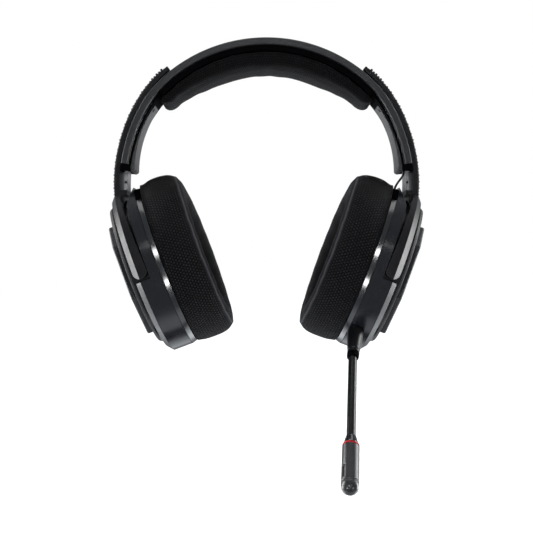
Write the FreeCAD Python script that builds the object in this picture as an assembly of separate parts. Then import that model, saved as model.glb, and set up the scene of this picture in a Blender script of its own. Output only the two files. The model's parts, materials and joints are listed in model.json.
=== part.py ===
"""Wireless over-ear gaming headset with a plug-in boom microphone.

Millimetres. +Z is up and the wearer faces -Y, so the wearer's left ear is on +X.
The origin is the middle of the headband cushion's underside, where the head carries the headset.
Each cup is drawn in its own axes (x inward to the ear, y backward, z up the cup), then tilted
into place. Everything that comes in pairs is drawn once for the wearer's right, at -X, and mirrored.
"""
import FreeCAD, Part
import math
import os

os.makedirs("parts", exist_ok=True)

V = FreeCAD.Vector

# Headband. Its top arc and its side arcs have their centres on the Z axis, and the arms slide
# round the side arcs' centre.
TOP_CENTRE_Z = -75.3
SIDE_CENTRE_Z = -68.8
TOP_R = 90.6
SIDE_R = 86.4
SHELL_THICK = 4.0
SHELL_WEB = 1.6
SHELL_FLANGE = 3.0
SHELL_END = 82.4            # degrees from the top, about the side centre
HALF_WIDTH_TOP = 19.0
HALF_WIDTH_LOW = 13.0
WIDE_ABOVE_Z = -8.0
NARROW_BELOW_Z = -48.0

SPRING_BAND = (1.8, 2.8)    # depth below the shell's outer face, from and to
SPRING_END = 48.0
FRAME_TOP = (4.0, 7.4)
FRAME_LEG = (4.6, 5.7)
FRAME_TOP_END = 50.0
CUSHION = (7.6, 15.3)
CUSHION_END = 54.0
GUIDE_END = 85.0
LINING_DEPTH = 5.8
LINING_THICK = (0.7, 2.8)   # at its upper and lower end
LINING_HALF_WIDTH = (8.5, 11.0)
LINING_START = 55.2
LINING_END = 85.2
LINING_SCREW = 57.2

# Arm and yoke
RAIL = (1.9, 4.0)
RAIL_START = 55.0
STOP_SCREW = 89.6
STOP_SCREW_END = -4.5
RAIL_HALF_WIDTH = 7.5
ARM_GAP = 0.3
ARM_THICK = 2.2
ARM_START = 40.7
ROOT_START = 93.0
ROOT_STEP = 95.0
ROOT_END = 98.0
GRIP_START = 42.0
GRIP_END = 97.6
GRIP_THICK = 1.1
RUNNING_GAP = 0.3

# Cup: an oval of four tangent arcs, seen along the axis of the ear
CUP_X = 58.5
CUP_Z = -116.1
CUP_TILT = 20.6
CUP_HALF_HEIGHT = 50.0
CUP_HALF_DEPTH = 41.0
CUP_END_R = 30.0
PAD_THICK = 25.2
PAD_OPENING = 17.0          # width of the pad's wall
TRIM_DEPTH = 3.2
FLANGE_BACK = -9.2
BEVEL_START = -15.0
RING_BACK = -18.3
BEVEL_INSET = 3.8
CORE_INSET = 7.2
LOWER_TOP = -5.9            # height below which the cup is as wide as the yoke
RING_INSET = 5.8
WALL = 2.0
COVER_BACK = -21.6
PLATE_BACK = -25.0
PIVOT_X = -13.8
TIP_R = 4.5
PIN_R = 1.8
PIN_GAP = 0.05
OUTWARD_ROOM = 3.5          # degrees of slope on the yoke's inner side

# Microphone
MIC_X = -7.1
MIC_SURFACE = (-24.0, -39.2)
MIC_AXIS = (-0.11, -0.71, -0.695)
STEM_AXIS = (-0.185, -0.682, -0.706)
PLUG_R = 1.75
SOCKET_R = 2.6
SOCKET_DEPTH = 11.0
BOOT_LENGTH = 17.0
BOOT_R = (4.7, 3.4)
COLLAR_R = 3.5
COLLAR_LENGTH = 3.6
STEM_R = (2.4, 2.5)
STEM_END = 52.3
FERRULE_R = (2.8, 4.0)
FERRULE_END = 57.0
RED_RING_R = 4.6
RED_RING_END = 58.7
CAPSULE_R = 4.75
CAPSULE_END = 82.1

# Controls on the rear of the microphone's cup
WHEEL_R = 10.0
WHEEL_Z = -4.0
WHEEL_PROUD = 1.2
AXLE_R = 1.0
MUTE_Z = 12.0
POWER_Z = -20.0
BUTTON_HALF = (3.6, 1.2)
BUTTON_PROUD = 1.0

WIRE_R = 0.45
WIRE_Y = -7.0


def unit(vector):
    """The vector at length 1."""
    return V(vector).multiply(1.0 / V(vector).Length)


# ---------------------------------------------------------------- headband curves

def side_point(radius, degrees, y, centre_z=SIDE_CENTRE_Z):
    """A point on an arc about the side centre, on -X, degrees down from the top."""
    turn = math.radians(degrees)
    return V(-radius * math.sin(turn), y, centre_z + radius * math.cos(turn))


def sector(radii, degrees, half_width, centre_z=SIDE_CENTRE_Z):
    """A curved bar on -X between two radii and two angles, 2 * half_width wide in Y."""
    inner, outer = min(radii), max(radii)
    start, end = degrees
    middle = (start + end) / 2
    corner = [side_point(outer, start, -half_width, centre_z), side_point(outer, end, -half_width, centre_z),
              side_point(inner, end, -half_width, centre_z), side_point(inner, start, -half_width, centre_z)]
    edges = [
        Part.Arc(corner[0], side_point(outer, middle, -half_width, centre_z), corner[1]).toShape(),
        Part.LineSegment(corner[1], corner[2]).toShape(),
        Part.Arc(corner[2], side_point(inner, middle, -half_width, centre_z), corner[3]).toShape(),
        Part.LineSegment(corner[3], corner[0]).toShape(),
    ]
    return Part.Face(Part.Wire(edges)).extrude(V(0, 2 * half_width, 0))


def side_radii(depths):
    """Side arc radii at depths below the shell's outer face."""
    return SIDE_R - depths[0], SIDE_R - depths[1]


def junction_z(depth):
    """Height at which the top arc and the side arcs of this depth cross."""
    difference = (TOP_R - depth) ** 2 - (SIDE_R - depth) ** 2
    return (difference - TOP_CENTRE_Z ** 2 + SIDE_CENTRE_Z ** 2) / (2 * (SIDE_CENTRE_Z - TOP_CENTRE_Z))


def band_edges(depth, end, y):
    """Three arcs, from the -X end over the top to the +X end, at one depth below the outer face."""
    side_r = SIDE_R - depth
    top_r = TOP_R - depth
    z = junction_z(depth)
    x = math.sqrt(side_r ** 2 - (z - SIDE_CENTRE_Z) ** 2)
    joint = math.degrees(math.atan2(x, z - SIDE_CENTRE_Z))
    if end <= joint:
        tip = side_point(side_r, end, y)
        scale = top_r / math.hypot(tip.x, tip.z - TOP_CENTRE_Z)
        tip = V(tip.x * scale, y, TOP_CENTRE_Z + (tip.z - TOP_CENTRE_Z) * scale)
        other = V(-tip.x, y, tip.z)
        return tip, other, [Part.Arc(tip, V(0, y, TOP_CENTRE_Z + top_r), other).toShape()]
    tip = side_point(side_r, end, y)
    middle = side_point(side_r, (end + joint) / 2, y)
    knee = V(-x, y, z)
    flip = [V(-p.x, y, p.z) for p in (tip, middle, knee)]
    edges = [
        Part.Arc(tip, middle, knee).toShape(),
        Part.Arc(knee, V(0, y, TOP_CENTRE_Z + top_r), flip[2]).toShape(),
        Part.Arc(flip[2], flip[1], flip[0]).toShape(),
    ]
    return tip, flip[0], edges


def band(depths, end, half_width):
    """A curved bar over the whole headband, between two depths, ending at an angle each side."""
    start_out, end_out, outer = band_edges(depths[0], end, -half_width)
    start_in, end_in, inner = band_edges(depths[1], end, -half_width)
    edges = outer + [Part.LineSegment(end_out, end_in).toShape()] + inner[::-1]
    edges.append(Part.LineSegment(start_in, start_out).toShape())
    wire = Part.Wire(Part.__sortEdges__(edges))
    return Part.Face(wire).extrude(V(0, 2 * half_width, 0))


def side_mask(inset):
    """The headband's outline seen from the side: wide on top, narrower down the sides."""
    wide = HALF_WIDTH_TOP - inset
    narrow = HALF_WIDTH_LOW - inset
    half = [(wide, 40), (wide, WIDE_ABOVE_Z), (narrow, NARROW_BELOW_Z), (narrow, -140)]
    points = [V(-150, y, z) for y, z in half] + [V(-150, -y, z) for y, z in reversed(half)]
    points.append(points[0])
    return Part.Face(Part.makePolygon(points)).extrude(V(300, 0, 0))


# ---------------------------------------------------------------- cup curves

def oval_wire(inset, x):
    """The cup's outline moved in by inset, in the plane at x: two end arcs and two side arcs."""
    a = CUP_HALF_HEIGHT
    b = CUP_HALF_DEPTH
    side_r = (b ** 2 + (a - CUP_END_R) ** 2 - CUP_END_R ** 2) / (2 * (b - CUP_END_R))
    end_z = a - CUP_END_R
    side_y = side_r - b
    slant = unit(V(0, side_y, end_z))
    corner_y = slant.y * (CUP_END_R - inset)
    corner_z = end_z + slant.z * (CUP_END_R - inset)
    points = [V(x, corner_y, corner_z), V(x, 0, a - inset), V(x, -corner_y, corner_z), V(x, inset - b, 0),
              V(x, -corner_y, -corner_z), V(x, 0, inset - a), V(x, corner_y, -corner_z), V(x, b - inset, 0)]
    arcs = [Part.Arc(points[i], points[i + 1], points[(i + 2) % 8]).toShape() for i in (0, 2, 4, 6)]
    return Part.Wire(arcs)


def oval(inset, x_from, x_to):
    """A straight-sided oval block."""
    return Part.Face(oval_wire(inset, x_from)).extrude(V(x_to - x_from, 0, 0))


def oval_taper(inset_from, x_from, inset_to, x_to):
    """An oval block whose wall slopes from one inset to another."""
    return Part.makeLoft([oval_wire(inset_from, x_from), oval_wire(inset_to, x_to)], True, True)


def rear_surface_y(z):
    """The rear face of the cup's oval at height z, on its side arc."""
    side_r = (CUP_HALF_DEPTH ** 2 + (CUP_HALF_HEIGHT - CUP_END_R) ** 2 - CUP_END_R ** 2)
    side_r = side_r / (2 * (CUP_HALF_DEPTH - CUP_END_R))
    return CUP_HALF_DEPTH - side_r + math.sqrt(side_r ** 2 - z ** 2)


def box(x, y, z):
    """A box from pairs of limits."""
    return Part.makeBox(x[1] - x[0], y[1] - y[0], z[1] - z[0], V(x[0], y[0], z[0]))


def rod(start, axis, radius, length):
    """A round bar from a point along an axis."""
    return Part.makeCylinder(radius, length, V(start), V(axis))


def cone(start, axis, radii, length):
    """A tapered round bar from a point along an axis."""
    return Part.makeCone(radii[0], radii[1], length, V(start), V(axis))


def place(shape):
    """Moves a shape from the cup's own axes to its place on the wearer's right."""
    moved = shape.copy()
    moved.Placement = FreeCAD.Placement(V(-CUP_X, 0, CUP_Z), FreeCAD.Rotation(V(0, 1, 0), -CUP_TILT))
    return moved


def to_cup(shape):
    """Moves a shape from its place on the wearer's right to the cup's own axes."""
    placement = FreeCAD.Placement(V(-CUP_X, 0, CUP_Z), FreeCAD.Rotation(V(0, 1, 0), -CUP_TILT))
    return shape.transformed(placement.inverse().toMatrix())


def mirrored(shape):
    """The same shape on the other side of the head."""
    return shape.mirror(V(0, 0, 0), V(1, 0, 0))


def export(name, shape):
    """Writes one sub-part and reports whether its solids are sound."""
    solids = shape.Solids
    sound = shape.isValid() and all(solid.isClosed() for solid in solids)
    print(f"{name:28s} solids {len(solids)}  volume {shape.Volume:10.1f}  {'ok' if sound else 'NOT SOUND'}")
    if len(solids) == 1:
        shape = solids[0]
    shape.exportStep(f"parts/{name}.step")


def export_pair(name, shape):
    """Writes the wearer's right and left copies of a sub-part that is drawn at -X."""
    export(f"{name}_right", shape)
    export(f"{name}_left", mirrored(shape))


def export_cup_pair(name, shape):
    """Writes both copies of a sub-part that is drawn in the cup's axes."""
    export_pair(name, place(shape))


# ---------------------------------------------------------------- headband

def headband_shell():
    """Outer plastic shell: a channel, open towards the head, in which the arms' rails slide."""
    outer = band((0, SHELL_THICK), SHELL_END, HALF_WIDTH_TOP).common(side_mask(0))
    channel = band((SHELL_WEB, SHELL_THICK + 1), SHELL_END + 2, HALF_WIDTH_TOP)
    return outer.cut(channel.common(side_mask(SHELL_FLANGE)))


def spring_band():
    """Thin steel band that gives the headband its clamping force."""
    return band(SPRING_BAND, SPRING_END, 8.0)


def inner_frame():
    """Black frame that closes the channel. It carries the cushion and the two lining strips."""
    top = band(FRAME_TOP, FRAME_TOP_END, HALF_WIDTH_TOP).common(side_mask(2.4))
    frame = top
    for flip in (False, True):
        leg = sector(side_radii(FRAME_LEG), (FRAME_TOP_END - 1, SHELL_END), HALF_WIDTH_TOP)
        leg = leg.common(side_mask(3.2))
        groove = sector(side_radii((3, 8)), (57, 90), 1.0)
        groove.translate(V(0, WIRE_Y, 0))
        leg = leg.cut(groove)
        frame = frame.fuse(mirrored(leg) if flip else leg)
    return frame.removeSplitter()


def headband_cushion():
    """Soft pad under the top of the headband."""
    return band(CUSHION, CUSHION_END, HALF_WIDTH_TOP).common(side_mask(1.0))


def lining_strip():
    """Lining on the inside of the headband's leg, thin at its top, with a rounded lower end."""
    top_r, low_r = (SIDE_R - LINING_DEPTH - thick for thick in LINING_THICK)
    start, end = math.radians(LINING_START), math.radians(LINING_END)
    shift = (top_r - low_r) / (1 - math.cos(end - start))
    centre = side_point(shift, LINING_START, -30)
    strip = sector((low_r - 3, SIDE_R - LINING_DEPTH), (LINING_START, LINING_END), HALF_WIDTH_TOP)
    strip = strip.cut(rod(centre, V(0, 1, 0), top_r - shift, 60))
    top = side_point(SIDE_R, LINING_START, 0).z + 10
    low = side_point(SIDE_R, LINING_END, 0).z - 10
    half = [(LINING_HALF_WIDTH[0], top), (LINING_HALF_WIDTH[1], low)]
    points = [V(-150, y, z) for y, z in half] + [V(-150, -y, z) for y, z in reversed(half)]
    points.append(points[0])
    strip = strip.common(Part.Face(Part.makePolygon(points)).extrude(V(150, 0, 0)))
    lowest = sorted(strip.Edges, key=lambda edge: edge.CenterOfMass.z)
    ends = [edge for edge in lowest[:4] if abs(edge.Vertexes[0].Y - edge.Vertexes[-1].Y) > 5]
    return strip.makeFillet(1.2, ends)


def lining_screw():
    """Small screw through the top of the lining strip, near its front edge."""
    turn = math.radians(LINING_SCREW)
    outward = V(-math.sin(turn), 0, math.cos(turn))
    face = side_point(SIDE_R - LINING_DEPTH - LINING_THICK[0] - 0.5, LINING_SCREW, -5.5)
    return rod(face, outward, 1.0, LINING_THICK[0] + 0.4)


def end_guide():
    """Block that closes the end of the channel and guides the rail."""
    block = sector(side_radii((0, LINING_DEPTH - 0.2)), (SHELL_END, GUIDE_END), HALF_WIDTH_TOP)
    block = block.common(side_mask(0))
    depths = (RAIL[0] - 0.2, RAIL[1] + 0.15)
    rail_way = sector(side_radii(depths), (80, 90), RAIL_HALF_WIDTH + 0.3)
    wire_way = sector(side_radii((RAIL[1], 8)), (80, 90), 1.0)
    wire_way.translate(V(0, WIRE_Y, 0))
    return block.cut(rail_way).cut(wire_way)


# ---------------------------------------------------------------- arm and yoke

def arm_radii():
    """Inner and outer radius of the arm's outer blade."""
    inner = SIDE_R + ARM_GAP
    return inner, inner + ARM_THICK


def slider_rail():
    """Rail that runs up into the headband's channel."""
    rail = sector(side_radii(RAIL), (RAIL_START, ROOT_START), RAIL_HALF_WIDTH)
    return rail.cut(stop_screw_bar(0.8, -RAIL_HALF_WIDTH - 1))


def stop_screw_bar(radius, y_from):
    """Round bar into the rail's front edge, where the stop screw sits."""
    start = side_point(SIDE_R - sum(RAIL) / 2, STOP_SCREW, y_from)
    return rod(start, V(0, 1, 0), radius, STOP_SCREW_END - y_from)


def rail_screw():
    """Stop screw in the rail's front edge, near its lower end."""
    return stop_screw_bar(0.75, -RAIL_HALF_WIDTH + 0.1)


def yoke_ring():
    """The C that holds the cup, in the cup's axes: upper half of an oval ring with round tips."""
    ring = oval(0, BEVEL_START, FLANGE_BACK - 0.1).fuse(oval_taper(BEVEL_INSET, RING_BACK, 0, BEVEL_START))
    ring = ring.cut(oval(RING_INSET, RING_BACK - 1, FLANGE_BACK + 1))
    upper = box((-30, 10), (-60, 60), (0, 60))
    tips = rod(V(PIVOT_X, -60, 0), V(0, 1, 0), TIP_R, 120)
    ring = ring.common(upper.fuse(tips))
    slope = math.tan(math.radians(OUTWARD_ROOM))
    room = Part.makePolygon([V(FLANGE_BACK - 0.1, -60, 0), V(FLANGE_BACK - 0.1 - 60 * slope, -60, 60),
                             V(5, -60, 60), V(5, -60, 0), V(FLANGE_BACK - 0.1, -60, 0)])
    return ring.cut(Part.Face(room).extrude(V(0, 120, 0)))


def swing_room():
    """Space that the cup needs inside the yoke, in the cup's axes."""
    core_room = oval(RING_INSET, COVER_BACK - 2, FLANGE_BACK + 1)
    flange_room = oval(-RUNNING_GAP, FLANGE_BACK - RUNNING_GAP, 0).cut(root_room())
    flange_room.rotate(V(PIVOT_X, 0, 0), V(0, 1, 0), -OUTWARD_ROOM / 2)
    return core_room.fuse(flange_room)


def yoke():
    """Outer blade, root and C-shaped yoke in one piece."""
    blade = sector(arm_radii(), (ARM_START, ROOT_END), HALF_WIDTH_TOP).common(side_mask(1.5))
    root = sector((SIDE_R - RAIL[1], arm_radii()[1]), (ROOT_START, ROOT_STEP), HALF_WIDTH_LOW - 1.5)
    neck = sector((SIDE_R - RAIL[0], arm_radii()[1]), (ROOT_START, ROOT_END), HALF_WIDTH_LOW - 1.5)
    shape = blade.fuse(root).fuse(neck).fuse(place(yoke_ring())).cut(place(swing_room()))
    for y in (-1, 1):
        hole = rod(V(PIVOT_X, y * 30.0, 0), V(0, y, 0), PIN_R, 8.5)
        shape = shape.cut(place(hole))
    return shape.removeSplitter()


def grip_cover():
    """Textured cover on the outside of the blade."""
    inner = arm_radii()[1]
    cover = sector((inner, inner + GRIP_THICK), (GRIP_START, GRIP_END), HALF_WIDTH_TOP)
    cover = cover.common(side_mask(2.2)).cut(place(yoke_ring()))
    return max(cover.Solids, key=lambda solid: solid.Volume)


def pivot_pins():
    """Two pins, fixed in the yoke's tips, on which the cup tilts."""
    pins = [rod(V(PIVOT_X, y * 30.5, 0), V(0, y, 0), PIN_R, 8.0) for y in (-1, 1)]
    return place(Part.makeCompound(pins))


# ---------------------------------------------------------------- cup

def root_room():
    """Space that the cup leaves for the arm's root, over its top."""
    points = [V(-TRIM_DEPTH, -60, 49.0), V(FLANGE_BACK - 1, -60, 37.0), V(FLANGE_BACK - 1, -60, 60),
              V(-TRIM_DEPTH, -60, 60), V(-TRIM_DEPTH, -60, 49.0)]
    return Part.Face(Part.makePolygon(points)).extrude(V(0, 120, 0))


def pin_holes():
    """Running holes for the pivot pins."""
    return rod(V(PIVOT_X, -60, 0), V(0, 1, 0), PIN_R + PIN_GAP, 120)


def cup_housing():
    """Glossy shell: a flange the size of the pad, deeper below the yoke's tips, and a narrower core."""
    flange = oval(0, FLANGE_BACK, -TRIM_DEPTH).cut(root_room())
    core = oval(CORE_INSET, COVER_BACK + WALL, FLANGE_BACK)
    below = oval(0, BEVEL_START, FLANGE_BACK).common(box((-30, 0), (-60, 60), (-60, LOWER_TOP)))
    outside = flange.fuse(core).fuse(below)
    roof = oval(2.4, FLANGE_BACK + WALL, 1).cut(root_room().translated(V(0, 0, -3.0)))
    basin = oval(2.4, BEVEL_START + WALL, 1).common(box((-30, 5), (-60, 60), (-60, LOWER_TOP - WALL)))
    hollow = roof.fuse(oval(CORE_INSET + WALL, COVER_BACK, FLANGE_BACK + WALL + 0.5)).fuse(basin)
    return outside.cut(hollow).cut(pin_holes())


def mic_place():
    """Point where the boom leaves the cup, and its two directions, in the cup's axes."""
    start = V(MIC_X, MIC_SURFACE[0], MIC_SURFACE[1])
    return start, unit(V(*MIC_AXIS)), unit(V(*STEM_AXIS))


def socket_body():
    """Solid cylinder that the microphone socket fills."""
    start, axis, _ = mic_place()
    return rod(start - axis * SOCKET_DEPTH, axis, SOCKET_R, SOCKET_DEPTH + 0.2)


def control_cutouts():
    """Slot for the volume wheel and holes for the two buttons, in the rear of the flange."""
    slot = box((-7.1, -4.1), (34, 46), (WHEEL_Z - 9.8, WHEEL_Z + 9.8))
    for z in (MUTE_Z, POWER_Z):
        slot = slot.fuse(pill(z, BUTTON_HALF[0] + 0.25, BUTTON_HALF[1] + 0.25, 12.0, 6.0))
    return slot


def pill(z, half_length, half_width, depth, proud):
    """A slot-shaped bar along Y through the rear of the flange, at height z."""
    y_out = rear_surface_y(z) + proud
    reach = half_length - half_width
    bar = box((-5.6 - half_width, -5.6 + half_width), (y_out - depth, y_out), (z - reach, z + reach))
    for end in (-reach, reach):
        bar = bar.fuse(rod(V(-5.6, y_out - depth, z + end), V(0, 1, 0), half_width, depth))
    return bar.removeSplitter()


def usb_body():
    """Outer size of the charging port, in the lower rear of the flange."""
    return box((-8.0, -4.4), (9.0, 18.6), (-52.0, -40.0))


def usb_port():
    """Metal shell of the charging port, open downward, with its contact tongue."""
    body = box((-8.0, -4.4), (9.0, 18.6), (-48.4, -40.0))
    mouth = box((-7.6, -4.8), (9.5, 18.1), (-49.0, -41.0))
    tongue = box((-6.5, -5.9), (10.6, 17.0), (-47.0, -41.0))
    return body.cut(mouth).fuse(tongue)


def trim_ring():
    """Bright bevelled ring between the housing and the pad."""
    ring = oval_taper(0, -TRIM_DEPTH, 1.1, 0)
    return ring.cut(oval(3.4, -TRIM_DEPTH - 1, 1))


def baffle(with_axle):
    """Plate that closes the cup behind the pad and holds the driver. One has the wheel's axle."""
    plate = oval(3.4, -2.6, 0).cut(rod(V(-5, 0, 0), V(1, 0, 0), 18.5, 8))
    if with_axle:
        axle_y = rear_surface_y(WHEEL_Z) + WHEEL_PROUD - WHEEL_R
        plate = plate.fuse(rod(V(-7.1, axle_y, WHEEL_Z), V(1, 0, 0), AXLE_R, 5.0))
    return plate


def driver_frame():
    """Basket of the sound driver."""
    basket = rod(V(-6.0, 0, 0), V(1, 0, 0), 20.5, 3.4)
    return basket.cut(rod(V(-4.6, 0, 0), V(1, 0, 0), 18.0, 8)).cut(rod(V(-8, 0, 0), V(1, 0, 0), 9.0, 8))


def driver_magnet():
    """Magnet of the sound driver."""
    return rod(V(-11.5, 0, 0), V(1, 0, 0), 11.0, 5.5)


def driver_diaphragm():
    """Domed diaphragm of the sound driver."""
    rim = rod(V(-2.6, 0, 0), V(1, 0, 0), 18.4, 0.4)
    dome = Part.makeSphere(14.0, V(-14.4, 0, 0)).common(rod(V(-2.3, 0, 0), V(1, 0, 0), 9.5, 4))
    return rim.fuse(dome)


def lower_ridge():
    """Bevelled ridge that carries the yoke's line on round the bottom of the cup."""
    ring = oval_taper(BEVEL_INSET, RING_BACK, 0, BEVEL_START).cut(oval(CORE_INSET, RING_BACK - 1, 0))
    return ring.common(box((-30, 0), (-60, 60), (-60, LOWER_TOP)))


def back_cover():
    """Cover that closes the core's outer end."""
    return oval_taper(CORE_INSET + 1.2, COVER_BACK, CORE_INSET, COVER_BACK + WALL)


def outer_plate():
    """Flat angular plate on the outside of the cup."""
    outline = [(-14, 31), (14, 31), (27, 19), (29, -13), (15, -35), (-15, -35), (-29, -13), (-27, 19)]
    points = [V(PLATE_BACK, y, z) for y, z in outline]
    points.append(points[0])
    plate = Part.Face(Part.makePolygon(points)).extrude(V(COVER_BACK - PLATE_BACK, 0, 0))
    rim = [edge for edge in plate.Edges if abs(edge.CenterOfMass.x - PLATE_BACK) < 0.01]
    return plate.makeChamfer(0.7, rim)


def ear_pad():
    """Soft ring that seals round the ear."""
    pad = oval(0, 0.2, PAD_THICK).cut(oval(PAD_OPENING, -1, PAD_THICK + 1))
    rims = [edge for edge in pad.Edges if abs(edge.CenterOfMass.x - PAD_THICK) < 0.01]
    return pad.makeFillet(6.0, rims)


def ear_scrim():
    """Thin cloth over the driver, at the bottom of the pad."""
    return oval(PAD_OPENING + 0.4, 0.2, 0.8)


def circuit_board():
    """Main board, behind the microphone side's driver."""
    return oval(14.0, -16.8, -15.2)


def battery():
    """Flat cell, behind the other side's driver."""
    return box((-18.4, -13.2), (-16, 16), (-13, 13))


# ---------------------------------------------------------------- controls

def volume_wheel():
    """Ribbed thumb wheel that stands out of the rear of the cup."""
    centre = V(-6.9, rear_surface_y(WHEEL_Z) + WHEEL_PROUD - WHEEL_R, WHEEL_Z)
    bore = rod(centre - V(1, 0, 0), V(1, 0, 0), AXLE_R + PIN_GAP, 6)
    return rod(centre, V(1, 0, 0), WHEEL_R, 2.6).cut(bore)


def push_button(z):
    """Pill-shaped button through the rear of the flange."""
    return pill(z, BUTTON_HALF[0], BUTTON_HALF[1], 4.6, BUTTON_PROUD)


# ---------------------------------------------------------------- microphone

def mic_pieces():
    """Every piece of the boom microphone, by name, in the cup's axes."""
    start, axis, stem_axis = mic_place()
    boot_from = start + axis * 0.6
    knee = start + axis * (BOOT_LENGTH + COLLAR_LENGTH) + stem_axis * 0.25
    capsule_from = knee + stem_axis * RED_RING_END
    dome_at = knee + stem_axis * CAPSULE_END
    dome = Part.makeSphere(CAPSULE_R, dome_at)
    behind = rod(dome_at, stem_axis, CAPSULE_R + 1, CAPSULE_R + 1)
    inside = rod(capsule_from + stem_axis * 4, stem_axis, CAPSULE_R - 1.2, CAPSULE_END - RED_RING_END - 8)
    sleeve = cone(capsule_from, stem_axis, (RED_RING_R, CAPSULE_R), CAPSULE_END - RED_RING_END)
    ring_length = RED_RING_END - FERRULE_END
    return {
        "mic_plug": rod(start - axis * 9.5, axis, PLUG_R, 10.1),
        "mic_boot": cone(boot_from, axis, BOOT_R, BOOT_LENGTH - 0.6),
        "mic_collar": rod(start + axis * BOOT_LENGTH, axis, COLLAR_R, COLLAR_LENGTH),
        "mic_stem": cone(knee, stem_axis, STEM_R, STEM_END),
        "mic_ferrule": cone(knee + stem_axis * STEM_END, stem_axis, FERRULE_R, FERRULE_END - STEM_END),
        "mic_red_ring": rod(knee + stem_axis * FERRULE_END, stem_axis, RED_RING_R, ring_length),
        "mic_capsule": sleeve.cut(inside),
        "mic_element": rod(capsule_from + stem_axis * 8, stem_axis, CAPSULE_R - 1.3, 4.5),
        "mic_cap": dome.common(behind),
    }


def mic_socket():
    """Socket in the cup that takes the microphone's plug."""
    start, axis, _ = mic_place()
    bore = rod(start - axis * (SOCKET_DEPTH - 1.0), axis, PLUG_R + PIN_GAP, SOCKET_DEPTH + 2)
    return socket_body().cut(bore)


# ---------------------------------------------------------------- link wire

def link_wire(wire_r=WIRE_R):
    """Thin wire from the headband's channel to the top of the cup: arcs and runs in one plane."""
    radius = SIDE_R - 5.2
    start = side_point(radius, 62, WIRE_Y)
    middle = side_point(radius, 74, WIRE_Y)
    leave = side_point(radius, 86, WIRE_Y)
    turn = math.radians(86)
    along = V(-math.cos(turn), 0, -math.sin(turn))
    corner = leave + along * 4.6
    into = place(Part.Vertex(V(-6.2, WIRE_Y, 40.5))).Point
    onward = unit(into - corner)
    reach = 3.6
    bend_from = corner - along * reach
    bend_to = corner + onward * reach
    towards = unit(onward - along)
    half_turn = math.acos(max(-1.0, min(1.0, along.dot(onward)))) / 2
    bend_r = reach / math.tan(half_turn)
    centre = corner + towards * (bend_r / math.cos(half_turn))
    bend_mid = centre - towards * bend_r
    print("link wire: bend radius", round(bend_r, 1), "mm")
    edges = [
        Part.Arc(start, middle, leave).toShape(),
        Part.LineSegment(leave, bend_from).toShape(),
        Part.Arc(bend_from, bend_mid, bend_to).toShape(),
        Part.LineSegment(bend_to, into).toShape(),
    ]
    path = Part.Wire(edges)
    first = edges[0].tangentAt(edges[0].FirstParameter)
    section = Part.Wire(Part.makeCircle(wire_r, start, first))
    tube = path.makePipeShell([section], True, True)
    expected = math.pi * wire_r ** 2 * path.Length
    print("link wire: length", round(path.Length, 1), "volume", round(tube.Volume / expected, 3), "of expected")
    return tube


def main():
    """Draws and writes every sub-part."""
    export("headband_shell", headband_shell())
    export("spring_band", spring_band())
    screws = lining_screw()
    strip = lining_strip().cut(screws)
    export("inner_frame", inner_frame())
    export("headband_cushion", headband_cushion())
    export_pair("lining_strip", strip)
    export("lining_screws", Part.makeCompound([screws, mirrored(screws)]))
    export_pair("end_guide", end_guide())

    rail = slider_rail()
    export_pair("yoke", yoke())
    export_pair("grip_cover", grip_cover())
    export_pair("slider_rail", rail)
    export("rail_screw_right", rail_screw())
    export("rail_screw_left", mirrored(rail_screw()))
    export_pair("pivot_pins", pivot_pins())

    housing = cup_housing()
    export("cup_housing_right", place(housing))
    mic_housing = housing.cut(socket_body()).cut(control_cutouts()).cut(usb_body())
    wire_hole = to_cup(link_wire(WIRE_R + RUNNING_GAP))
    export("cup_housing_left", mirrored(place(mic_housing.cut(wire_hole))))
    export_cup_pair("trim_ring", trim_ring())
    export_cup_pair("lower_ridge", lower_ridge())
    export_cup_pair("back_cover", back_cover())
    export_cup_pair("outer_plate", outer_plate())
    export("baffle_right", place(baffle(False)))
    export("baffle_left", mirrored(place(baffle(True))))
    export_cup_pair("driver_frame", driver_frame())
    export_cup_pair("driver_magnet", driver_magnet())
    export_cup_pair("driver_diaphragm", driver_diaphragm())
    export_cup_pair("ear_pad", ear_pad())
    export_cup_pair("ear_scrim", ear_scrim())
    export("circuit_board", mirrored(place(circuit_board())))
    export("battery", place(battery()))

    export("usb_port", mirrored(place(usb_port())))
    export("mic_socket", mirrored(place(mic_socket())))
    export("volume_wheel", mirrored(place(volume_wheel())))
    export("mute_button", mirrored(place(push_button(MUTE_Z))))
    export("power_button", mirrored(place(push_button(POWER_Z))))
    for name, shape in mic_pieces().items():
        export(name, mirrored(place(shape)))
    export("link_wire", mirrored(link_wire()))


main()
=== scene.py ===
"""Looks of a wireless over-ear gaming headset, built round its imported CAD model.

Sizes below are millimetres, in the CAD frame: +Z up, the wearer faces -Y. Everything that comes in
pairs is worked out for the wearer's right, at -X, and mirrored. Cup pieces are worked out in the
cup's axes: x inward to the ear, y backward, z up the cup.
"""
import json
from math import acos, atan2, ceil, cos, inf, pi, radians, sin, sqrt, tan

import bmesh
import bpy
import numpy as np
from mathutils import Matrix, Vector
from mathutils.bvhtree import BVHTree
from numpy.linalg import norm


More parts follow.
